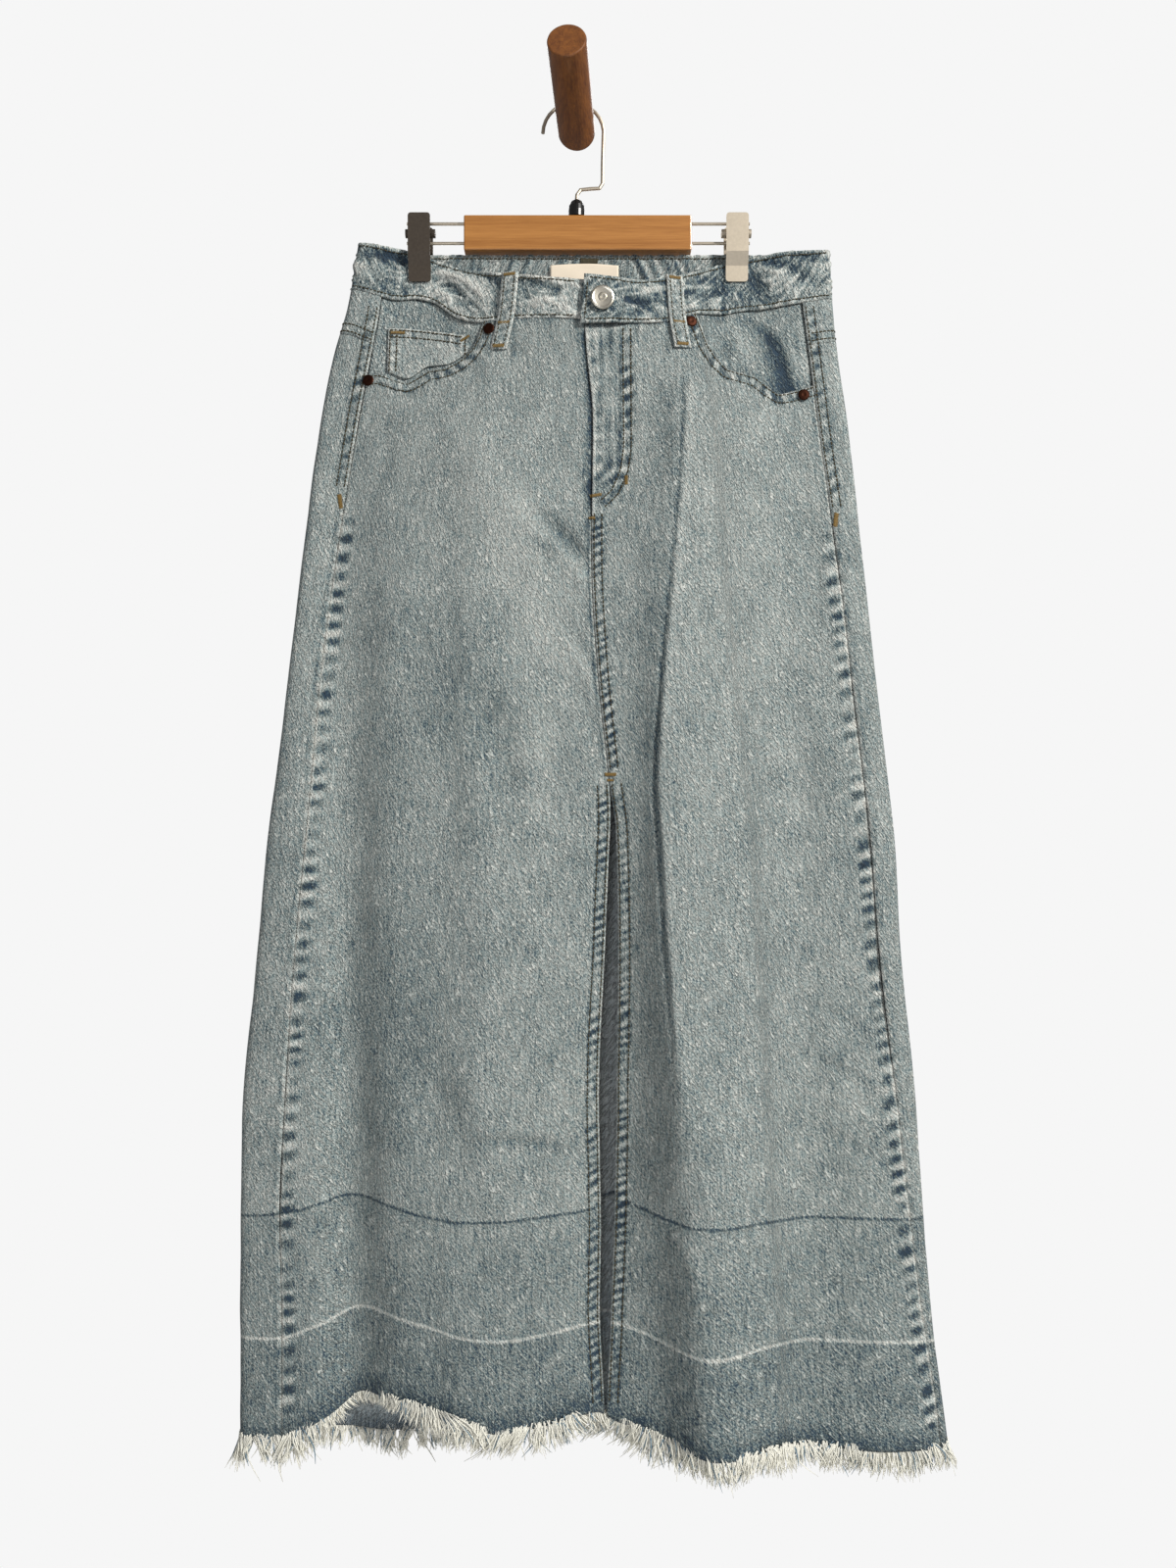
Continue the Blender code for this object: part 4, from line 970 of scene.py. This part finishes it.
bandEdges = {"waistbandFrontLeft": (0, 0, 0.5, 0.55), "waistbandFrontRight": (0.6, 0, 0.5, 0.55)}
for name, (node, lay, relief, size, where) in bandPieces.items():
    makeCloth(
        name, cellsFor(*size, cloth["sewnCell"]), where, lay, cloth["band"], [denim], [node], relief,
        hemLines=False, edges=bandEdges.get(name, (0, 0, 0.3, 0.3)),
    )
print("waistband sewn")


# pockets: the facing shows inside each opening, and the coin pocket sits on the left one
def facingWhere(xAt, bandRows, pocketRows):
    def where(u, v):
        top = settle(lambda z: bandEdge(bandRows, 2, frontAt(xAt(u, z), z))) - cloth["cut"]
        low = along(pocketRows, xAt(u, -200.0)) - 7.0  # it runs on below the opening
        z = between(low, top, v)
        return frontAt(xAt(u, z), z), z

    return where


def facingRelief(x, z):
    folds = [
        (146, -172, 160, -216, 4, 1.6), (154, -170, 168, -214, 3.5, -2.0), (120, -150, 136, -196, 5, 1.2),
        (112, -166, 122, -196, 4, -1.0), (-66, -176, -92, -160, 5, 0.8), (176, -158, 184, -212, 4, 0.9),
        (-135, -208, -104, -192, 4, -1.0), (100, -158, 150, -168, 4, -0.8),
    ]
    crease = creaseRelief(folds, x, z) + 0.3 * softNoise(x, z * 0.8, 24, 81)
    # the right one has painted shadow beside the opening's edge, and is sunk, with deeper painted shade,
    # where it gapes
    openingShadow = -0.25 * np.exp(-(((z - along(rightPocket, x)) / 6) ** 2)) * (x > 0)
    gape = (x - 157 - 0.3 * (-190 - z)) / between(5, 9, ease(z, -170, -210))
    sunk = ease(z, -158, -178) * np.exp(-(gape**2)) * (x > 0)
    # facings are a little darker overall as painted shade, and creases darker in troughs and paler on ridges
    return np.minimum(crease, 0.25) - 2.5 * sunk, 0.3 * crease + openingShadow - 0.14 - 1.0 * sunk


pocketLay = -cloth["thick"] - 2 * cloth["gap"]
leftFacing = facingWhere(
    lambda u, z: between(shapeAt("leftSeam", z) + cloth["cut"], -69.0, u), leftBand, leftPocket
)
rightFacing = facingWhere(
    lambda u, z: between(91.0, shapeAt("rightSeam", z) - cloth["cut"], u), rightBand, rightPocket
)
facingLeft = makeCloth(
    "pocketFacingLeft", cellsFor(94, 60, cloth["sewnCell"]), leftFacing, pocketLay, cloth["thick"],
    twoSides, ["pocket_facing_left"], facingRelief, hemLines=False,
)
facingRight = makeCloth(
    "pocketFacingRight", cellsFor(100, 66, cloth["sewnCell"]), rightFacing, pocketLay, cloth["thick"],
    twoSides, ["pocket_facing_right"], facingRelief, hemLines=False,
)

coin = {"left": -150.0, "right": -86.0, "top": -167.0, "slope": 9.0}
coinWidth = coin["right"] - coin["left"]


def coinTop(share):
    return coin["top"] - coin["slope"] * share**2


def coinWhere(u, v):
    x = between(coin["left"], coin["right"], u)
    z = between(along(leftPocket, x) + 3.0, coinTop(u), v)
    return frontAt(x, z), z


def coinRelief(x, z):
    # the doubled top hem puckers between its two rows of stitches
    below = coinTop((x - coin["left"]) / coinWidth) - z
    hem = np.exp(-(((below - 5) / 5) ** 4))
    wave = ropeWave(x, z * 0, 9, 0, 91) * hem
    fold = creaseRelief([(-146, -204, -116, -190, 4, -1.0), (-112, -180, -94, -192, 4, 0.8)], x, z)
    side = np.exp(-(((x - coin["left"] - 5) / 4) ** 4)) * ropeWave(z, x * 0, 9, 0, 92)
    # pucker colour is seam roping together with painted light and shade; two folds exist only as painted
    # shade and light
    return 0.25 * (wave + side), 0.35 * wave + 0.3 * side + 0.18 * fold + 0.12


coinPocket = makeCloth(
    "coinPocket", cellsFor(coinWidth, 36, 1.4), coinWhere, 0.0, cloth["thick"], twoSides,
    ["coin_pocket"], coinRelief, hemLines=False, edges=(0.4, 0.4, 0.1, 0.5),
)
print("pockets sewn")


# the slit's edges, turned in behind the panels
def slitHemWhere(sign):
    def where(u, v):
        z = between(along(hemRows, shapeAt("centre", hemLevel) + sign * 5) + 1, -536.0, v)
        edge = shapeAt("centre", z) + sign * (shapeAt("slit", z) + 0.3)
        low, high = sorted((0.0, sign * 10.0))
        return frontAt(edge + between(low, high, u), z), z

    return where


slitHemLay = -cloth["thick"] - 3 * cloth["gap"]
for side, sign in (("Left", -1), ("Right", 1)):
    makeCloth(
        "slitHem" + side, (5, 320), slitHemWhere(sign), slitHemLay, cloth["thick"], [denimBack],
        ["slit_hem_" + side.lower()], seamRope, hemLines=False,
    )

# belt loops: folded strips with rubbed edges
beltLoops = {
    "Left": {"x": (-61, -55, -51), "z": (-189, -165, -128)},
    "Right": {"x": (84, 80, 77), "z": (-187, -164, -128)},
    "Back": {"x": (9, 9, 9), "z": (-165, -136, -107)},
}
loopWidth, loopThick = 13.0, 1.5
loopLay = cloth["bandLay"] + cloth["band"] + cloth["gap"]


def loopSpot(side, share, z):
    # where a point of this share of the width lies
    row = beltLoops[side]
    x = curve(z, row["z"], row["x"]) + (share - 0.5) * loopWidth
    return 1.0 - frontAt(x, z) if side == "Back" else frontAt(x, z)


def loopWhere(side, row):
    def where(u, v):
        z = between(row["z"][0], row["z"][-1], v)
        return loopSpot(side, 1 - u if side == "Back" else u, z), z

    return where


def loopRelief(row):
    def relief(x, z):
        off = abs(x - curve(z, row["z"], row["x"])) / (loopWidth / 2)
        ends = np.exp(-(((z - row["z"][0]) / 4) ** 2)) + np.exp(-(((z - row["z"][-1]) / 4) ** 2))
        tuft = softNoise(x, z, 7, 95)
        return 0.5 * (1 - off**2) - 0.5 * ends, 0.9 * off**6 + 0.06 + 0.35 * tuft + 0.2 * ends

    return relief


for side, row in beltLoops.items():
    makeCloth(
        "beltLoop" + side, (10, 44), loopWhere(side, row), loopLay, loopThick, [denim],
        ["belt_loop_" + side.lower()], loopRelief(row), hemLines=False,
    )

# a blank woven label; its folded-in ends are not shaped, it is one flat sheet
label = {"x": (-21.0, 34.0), "z": (-134.0, -114.0)}


def labelWhere(u, v):
    x = between(label["x"][0], label["x"][1], u)
    z = between(label["z"][0], label["z"][1] + 1.6 * np.sin(math.pi * u), v)
    return 1.0 - frontAt(x, z), z


def labelRelief(x, z):
    return 0.3 * softNoise(x, z, 30, 97) * (z > -130), x * 0


labelThick = 1.0
labelPiece = makeCloth(
    "blankLabel", (34, 14), labelWhere, cloth["bandLay"] - cloth["gap"] - labelThick, labelThick,
    [labelCotton], ["label"], labelRelief, hemLines=False,
)
print("loops and label sewn")


def sewnRelief(x, z):
    # the front panels reach to the side seams, the back one lies beyond them
    inside = (x > shapeAt("leftSeam", z)) & (x < shapeAt("rightSeam", z))
    return np.where(inside, panelRelief(x, z)[0], wrapRelief(x, z)[0])


# thread work: every stitch is a short rounded bar, joined into one mesh for each colour
stitch = {"pitch": 3.3, "length": 2.7, "radius": 0.58, "lift": 0.1, "tackRadius": 0.36}


def barsMesh(name, starts, ends, radii, material, sides=5):
    # rounded bars between pairs of points, in mm
    axis = ends - starts
    length = np.linalg.norm(axis, axis=1, keepdims=True)
    axis = axis / np.maximum(length, 1e-6)
    helper = np.where(abs(axis[:, :1]) < 0.8, [[1.0, 0, 0]], [[0, 1.0, 0]])
    first = np.cross(axis, helper)
    first /= np.linalg.norm(first, axis=1, keepdims=True)
    second = np.cross(axis, first)
    turn = np.linspace(0, 2 * math.pi, sides, endpoint=False)
    turn = turn[None, :, None]
    ring = np.cos(turn) * first[:, None] + np.sin(turn) * second[:, None]
    profile = ((0.0, 0.45), (0.16, 1.0), (0.84, 1.0), (1.0, 0.45))
    points = np.stack([
        (starts + (ends - starts) * t)[:, None] + ring * (radii[:, None, None] * size) for t, size in profile
    ], axis=1)
    count, rings = points.shape[:2]
    base = (np.arange(count) * rings * sides)[:, None, None]
    i, j = np.meshgrid(np.arange(rings - 1), np.arange(sides), indexing="ij")
    a, b = i * sides + j, i * sides + (j + 1) % sides
    quads = np.stack([a, b, b + sides, a + sides], axis=-1).reshape(1, -1, 4) + base
    caps = np.stack([np.arange(sides)[::-1], np.arange(sides) + (rings - 1) * sides])[None] + base
    faces = [list(face) for face in quads.reshape(-1, 4).tolist()] + caps.reshape(-1, sides).tolist()
    mesh = bpy.data.meshes.new(name)
    mesh.from_pydata((points.reshape(-1, 3) * mm).tolist(), [], faces)
    mesh.materials.append(material)
    mesh.shade_smooth()
    return mesh


def rowStitches(around, z, lay):
    # starts and ends of the stitches along a line on the cloth
    spots = skinAt(around, z, lay)
    walked = np.concatenate([[0], np.cumsum(np.linalg.norm(np.diff(spots, axis=0), axis=1))])
    first = np.arange(0.4, walked[-1] - stitch["pitch"], stitch["pitch"])
    ends = [
        np.stack([np.interp(at, walked, spots[:, axis]) for axis in range(3)], axis=1)
        for at in (first, first + stitch["length"])
    ]
    return ends


oliveStarts, oliveEnds = [], []
goldStarts, goldEnds = [], []


def sewRow(around, z, lay):
    first, last = rowStitches(around, z, lay)
    oliveStarts.append(first)
    oliveEnds.append(last)


def sewFront(path, offset):
    # a row beside a path in x and z on the front panels
    path = np.asarray(path, float)
    walked = np.concatenate([[0], np.cumsum(np.hypot(*np.diff(path, axis=0).T))])
    at = np.arange(0, walked[-1], 1.2)
    x, z = np.interp(at, walked, path[:, 0]), np.interp(at, walked, path[:, 1])
    dx, dz = np.gradient(x), np.gradient(z)
    size = np.hypot(dx, dz)
    dx, dz = [np.convolve(np.pad(d / size, 4, mode="edge"), np.ones(9) / 9, "valid") for d in (dx, dz)]
    x, z = x - dz * offset, z + dx * offset
    sewRow(frontAt(x, z), z, cloth["thick"] + stitch["lift"] + sewnRelief(x, z))


for strip in strips.values():
    for offset in strip["rows"]:
        sewFront(strip["path"], offset)

# the waistband's edges, then its overlapping end
aboveBand = cloth["band"] + stitch["lift"]
bandRuns = {"waistbandFrontLeft": (0.02, 0.88), "waistbandFrontRight": (0.02, 0.98)}
for name, (first, last) in bandRuns.items():
    _, lay, relief, _, where = bandPieces[name]
    for level in (0.07, 0.93):
        u = np.linspace(first, last, 260)
        around, z = where(u, np.full_like(u, level))
        under = lay(around, z) if callable(lay) else lay
        sewRow(around, z, under + aboveBand + relief(frontX(around, z), z)[0])
around, z = bandPieces["waistbandFrontRight"][4](np.full(40, 0.015), np.linspace(0.08, 0.92, 40))
sewRow(around, z, rightBandLay(around, z) + aboveBand + bandRelief(frontX(around, z), z)[0])
backBandWhere = bandPieces["waistbandBack"][4]
for level in (0.08, 0.92):
    u = np.linspace(0.01, 0.99, 420)
    around, z = backBandWhere(u, np.full_like(u, level))
    rise = backBandRelief(frontX(around, z), z)[0]
    sewRow(around, z, cloth["bandLay"] + aboveBand + rise)
    sewRow(around, z, cloth["bandLay"] - 0.15 + rise)  # its inner face
# the back yoke's seam
for offset in (3.0, 9.0):
    u = np.linspace(0.002, 0.998, 420)
    z = along(backRows, u, 2) + offset
    around = backAround(u, z)
    rise = wrapRelief(frontX(around, z), z, behindShare(around))[0]
    sewRow(around, z, cloth["thick"] + stitch["lift"] + rise)
for side, row in beltLoops.items():
    z = np.linspace(row["z"][0] + 2, row["z"][-1] - 2, 40)
    for share in (0.2, 0.8):
        sewRow(loopSpot(side, share, z), z, loopLay + loopThick + 0.15)
# the coin pocket's top hem and sides
x = np.linspace(coin["left"] + 1, coin["right"] - 1, 50)
for drop in (1.8, 7.6):
    z = coinTop((x - coin["left"]) / coinWidth) - drop
    sewRow(frontAt(x, z), z, cloth["thick"] + 0.2)
for inset, top, low in ((1.6, -169.0, -206.0), (7.0, -169.0, -206.0), (62.2, -176.0, -198.0)):
    z = np.linspace(top, low, 30)
    x = coin["left"] + inset + z * 0
    sewRow(frontAt(x, z), z, cloth["thick"] + 0.2)

# bar tacks: dense gold zigzags; x, z, lean from upright, length, width, height above the skin
tacks = [
    (-187.5, -306.5, -8, 11, 4.0, 1.5), (205, -322.5, 6, 11, 4.0, 1.5), (39.5, -292, 0, 7, 3.0, 1.5),
    (15.5, -304, 80, 9, 2.6, 1.8), (12.5, -322, 90, 5, 2.0, 1.7), (27, -523.5, 90, 9, 3.0, 1.6),
    (-143, -171, 90, 12, 2.4, 1.7), (-88, -178, 60, 8, 2.4, 1.7), (27.0, -528.0, 90, 5, 2.0, 1.5),
    (-51.5, -130, 90, 9, 2.6, 3.9), (-56, -168, 90, 9, 2.4, 3.9), (-60.5, -186.5, 90, 9, 3.0, 3.9),
    (77.3, -130, 90, 9, 2.6, 3.9), (80.6, -166, 90, 9, 2.4, 3.9), (83.6, -184.5, 90, 9, 3.0, 3.9),
]
for x, z, lean, length, width, lay in tacks:
    count = int(length / 0.55)
    turn = math.radians(lean)
    share = np.repeat(np.linspace(-0.5, 0.5, count + 1), 2)[1:-1]
    swing = np.tile([-0.5, 0.5, 0.5, -0.5], count)[: len(share)]
    px = x + share * length * math.sin(turn) + swing * width * math.cos(turn)
    pz = z + share * length * math.cos(turn) - swing * width * math.sin(turn)
    onPanel = lay < cloth["band"]
    height = lay + (sewnRelief(px, pz) if onPanel else 0)
    spots = skinAt(frontAt(px, pz), pz, height)
    goldStarts.append(spots[:-1])
    goldEnds.append(spots[1:])
# the back loop's tack shows on the inside
x = np.linspace(3.6, 16.8, 60)
z = -110 + 2.0 * np.where(np.arange(60) % 2, 1, -1)
spots = skinAt(1.0 - frontAt(x, z), z, cloth["bandLay"] - 0.5)
oliveStarts.append(spots[:-1])
oliveEnds.append(spots[1:])


def threadPiece(name, starts, ends, radius, material):
    starts, ends = np.concatenate(starts), np.concatenate(ends)
    rng = np.random.default_rng(len(starts))
    radii = radius * rng.uniform(0.85, 1.15, len(starts))
    return addPiece(name, barsMesh(name, starts, ends, radii, material), [])


oliveStitches = threadPiece("oliveStitches", oliveStarts, oliveEnds, stitch["radius"], darkThread)
goldTacks = threadPiece("goldBarTacks", goldStarts, goldEnds, stitch["tackRadius"], goldThread)
print("stitches sewn:", sum(map(len, oliveStarts)))

# raw hem: loose yarns in tufts, some blue among the white
fringe = {"perMm": 4.4, "length": (11.0, 19.5), "strays": 0.03, "radius": 0.62, "tuft": 5.0}


def makeFringe(name, node, width, place, seed, shorter=lambda x: 1.0):
    # place gives around and height of the raw edge for a share of the way along it
    rng = np.random.default_rng(seed)
    count = int(width * fringe["perMm"] * (1.0))
    u = np.sort(rng.uniform(0.001, 0.999, count))
    around, top = place(u)
    tuftCount = int(width / fringe["tuft"])
    tuftAt = np.sort(rng.uniform(0, 1, tuftCount))
    mine = np.argmin(abs(u[:, None] - tuftAt[None]), axis=1)
    pull = (tuftAt[mine] - u) * width
    tuftLean = rng.normal(0, 0.26, tuftCount)[mine]
    across = u * width
    lean = tuftLean + 0.25 * softNoise(across, u * 0, 60, seed) + rng.normal(0, 0.12, count)
    low, high = fringe["length"]
    length = between(low, high, rng.random(count) ** 0.8)
    length = length * (1 + 0.22 * softNoise(across, u * 0, 36, seed + 1))
    stray = rng.random(count) < fringe["strays"]
    length = np.where(stray, length * rng.uniform(1.05, 1.45, count), length)
    lean = np.where(stray, lean + rng.normal(0, 0.5, count), lean)
    over = rng.random(count) < 0.55  # some yarns start on the face, above the cut edge
    lay = np.where(over, rng.uniform(1.3, 1.8, count), rng.uniform(0.1, 1.2, count))
    length = length * shorter(frontX(around, top))
    out = rng.normal(0.1, 0.16, count) + 0.12 * softNoise(across, u * 0, 30, seed + 2)
    curl = rng.normal(0, 0.1, count) * length
    raised = np.where(over, rng.uniform(0.5, 5.5, count), rng.uniform(-1.0, 0.6, count))
    root = skinAt(around, top + raised, lay)
    away = outwardAt(around, top)
    sideways = np.stack([away[:, 1], -away[:, 0], away[:, 2] * 0], axis=1)
    sideways /= np.linalg.norm(sideways, axis=1, keepdims=True)
    steps = np.linspace(0, 1, 5)
    spots = []
    for t in steps:
        drop = np.array([0, 0, -1.0]) * (length * t)[:, None]
        gather = pull * 0.85 * min(1, 1.5 * t)
        drift = gather + lean * length * t**1.3 + curl * math.sin(math.pi * t)
        push = away * (out * length * t**1.5)[:, None]
        spots.append(root + drop + sideways * drift[:, None] + push)
    spots = np.stack(spots, axis=1)
    spots[..., 1] = np.minimum(spots[..., 1], -0.8)  # the wall stops them
    radii = fringe["radius"] * rng.uniform(0.7, 1.2, count)
    turn = np.linspace(0, 2 * math.pi, 3, endpoint=False)
    flat = np.stack([np.cos(turn), np.sin(turn), turn * 0], axis=1)
    taper = np.array([1.0, 1.0, 0.95, 0.8, 0.3])
    size = radii[:, None, None, None] * taper[None, :, None, None]
    points = spots[:, :, None] + flat[None, None] * size
    rings = len(steps)
    base = (np.arange(count) * rings * 3)[:, None, None]
    i, j = np.meshgrid(np.arange(rings - 1), np.arange(3), indexing="ij")
    a, b = i * 3 + j, i * 3 + (j + 1) % 3
    quads = (np.stack([a, a + 3, b + 3, b], axis=-1).reshape(1, -1, 4) + base).reshape(-1, 4)
    tip = 3 * rings - 1
    caps = (np.array([[0, 1, 2], [tip, tip - 1, tip - 2]])[None] + base).reshape(-1, 3)
    mesh = bpy.data.meshes.new(name)
    mesh.from_pydata((points.reshape(-1, 3) * mm).tolist(), [], quads.tolist() + caps.tolist())
    mesh.materials.append(paleCotton)
    mesh.materials.append(blueCotton)
    blue = np.repeat(rng.random(count) < 0.1, 4 * 3)
    slots = np.concatenate([blue, np.zeros(len(caps), bool)]).astype(np.int32)
    mesh.polygons.foreach_set("material_index", slots)
    mesh.shade_smooth()
    return addPiece(name, mesh, [node])


def frontEdge(xAt):
    def place(u):
        x = xAt(u, hemLevel)
        z = along(hemRows, x)
        return frontAt(x, z), z

    return place


def backEdgePlace(u):
    z = along(backRows, u, 1)
    return backAround(u, z), z


fringeLeft = makeFringe(
    "fringeFrontLeft", "fringe_front_left", 255, frontEdge(leftFrontX), 11,
    lambda x: 1 - 0.55 * np.exp(-(((x + 160) / 30) ** 4)),  # worn short below the left fold
)
fringeRight = makeFringe("fringeFrontRight", "fringe_front_right", 268, frontEdge(rightFrontX), 12)
fringeBack = makeFringe("fringeBack", "fringe_back", 600, backEdgePlace, 13)
print("fringe combed")

view = {"place": (0.0094, -0.96, -0.531), "lens": 27.07, "sensor": 36.0}
camera = bpy.data.cameras.new("camera")
camera.lens, camera.sensor_width = view["lens"], view["sensor"]
cameraObject = bpy.data.objects.new("camera", camera)
cameraObject.location = view["place"]
cameraObject.rotation_euler = (math.pi / 2, 0, 0)
bpy.context.scene.collection.objects.link(cameraObject)
bpy.context.scene.camera = cameraObject

# place, height aimed at, size in metres, watts and colour
lights = {
    "key": ((1.9, -1.7, 1.0), -0.55, 0.35, 97.0, "#fffdf8"),
    "fill": ((-0.3, -2.1, -0.5), -0.6, 0.6, 7.0, "#f4f8ff"),
    "behind": ((0.2, 2.4, 0.8), -0.5, 1.6, 52.0, "#ffffff"),
}
for name, (place, aim, size, watts, colour) in lights.items():
    data = bpy.data.lights.new(name, "AREA")
    data.size, data.energy, data.color = size, watts, hexColour(colour)[:3]
    lamp = bpy.data.objects.new(name, data)
    lamp.location = place
    lamp.rotation_euler = (Vector((0, 0, aim)) - Vector(place)).to_track_quat("-Z", "Y").to_euler()
    bpy.context.scene.collection.objects.link(lamp)

world = bpy.data.worlds.new("studio")
world.use_nodes = True
bpy.context.scene.world = world
sky = world.node_tree
background = sky.nodes["Background"]
background.inputs["Color"].default_value = hexColour("#f6f6f6")
rays = addNode(sky, "ShaderNodeLightPath")
dim = {"To Min": 0.27, "To Max": 1.0}  # full strength only where the camera sees it
strength = addNode(sky, "ShaderNodeMapRange", dim, {"Value": rays.outputs["Is Camera Ray"]})
sky.links.new(strength.outputs[0], background.inputs["Strength"])
bpy.context.scene.view_settings.view_transform = "Standard"

floorMesh = bpy.data.meshes.new("floor")
floorRadius, corners = 1.15, 64
turns = np.linspace(0, 2 * math.pi, corners, endpoint=False)
ring = [(floorRadius * math.cos(turn), floorRadius * math.sin(turn), 0.0) for turn in turns]
floorMesh.from_pydata(ring, [], [tuple(range(corners))])
floorMesh.materials.append(makePlain("paleFloor", "#e9e8e5", 0.8, grainMm=30, shift=0.02, bumpMm=0.0))
floor = bpy.data.objects.new("floor", floorMesh)
floor.location = (0, -0.6, -1.62)
bpy.context.scene.collection.objects.link(floor)
floor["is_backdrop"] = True

finishes = {
    "peg": pegWood, "hanger_bar": barWood, "hanger_bead": blackPlastic, "hanger_hook": steel,
    "button": nickel, "zip": zipTape, "zip_slider": brass,
}
for name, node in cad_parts.items():
    material = finishes.get(name)
    if name.startswith("rivet"):
        material = copper
    if name.startswith(("rod", "clip")):
        # the left clip takes the darker copy of the steel, as painted shade
        material = shadedSteelCopy if name.startswith("clip_left") else steel
    if material is not None:
        node.data.materials.clear()
        node.data.materials.append(material)

low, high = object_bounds()
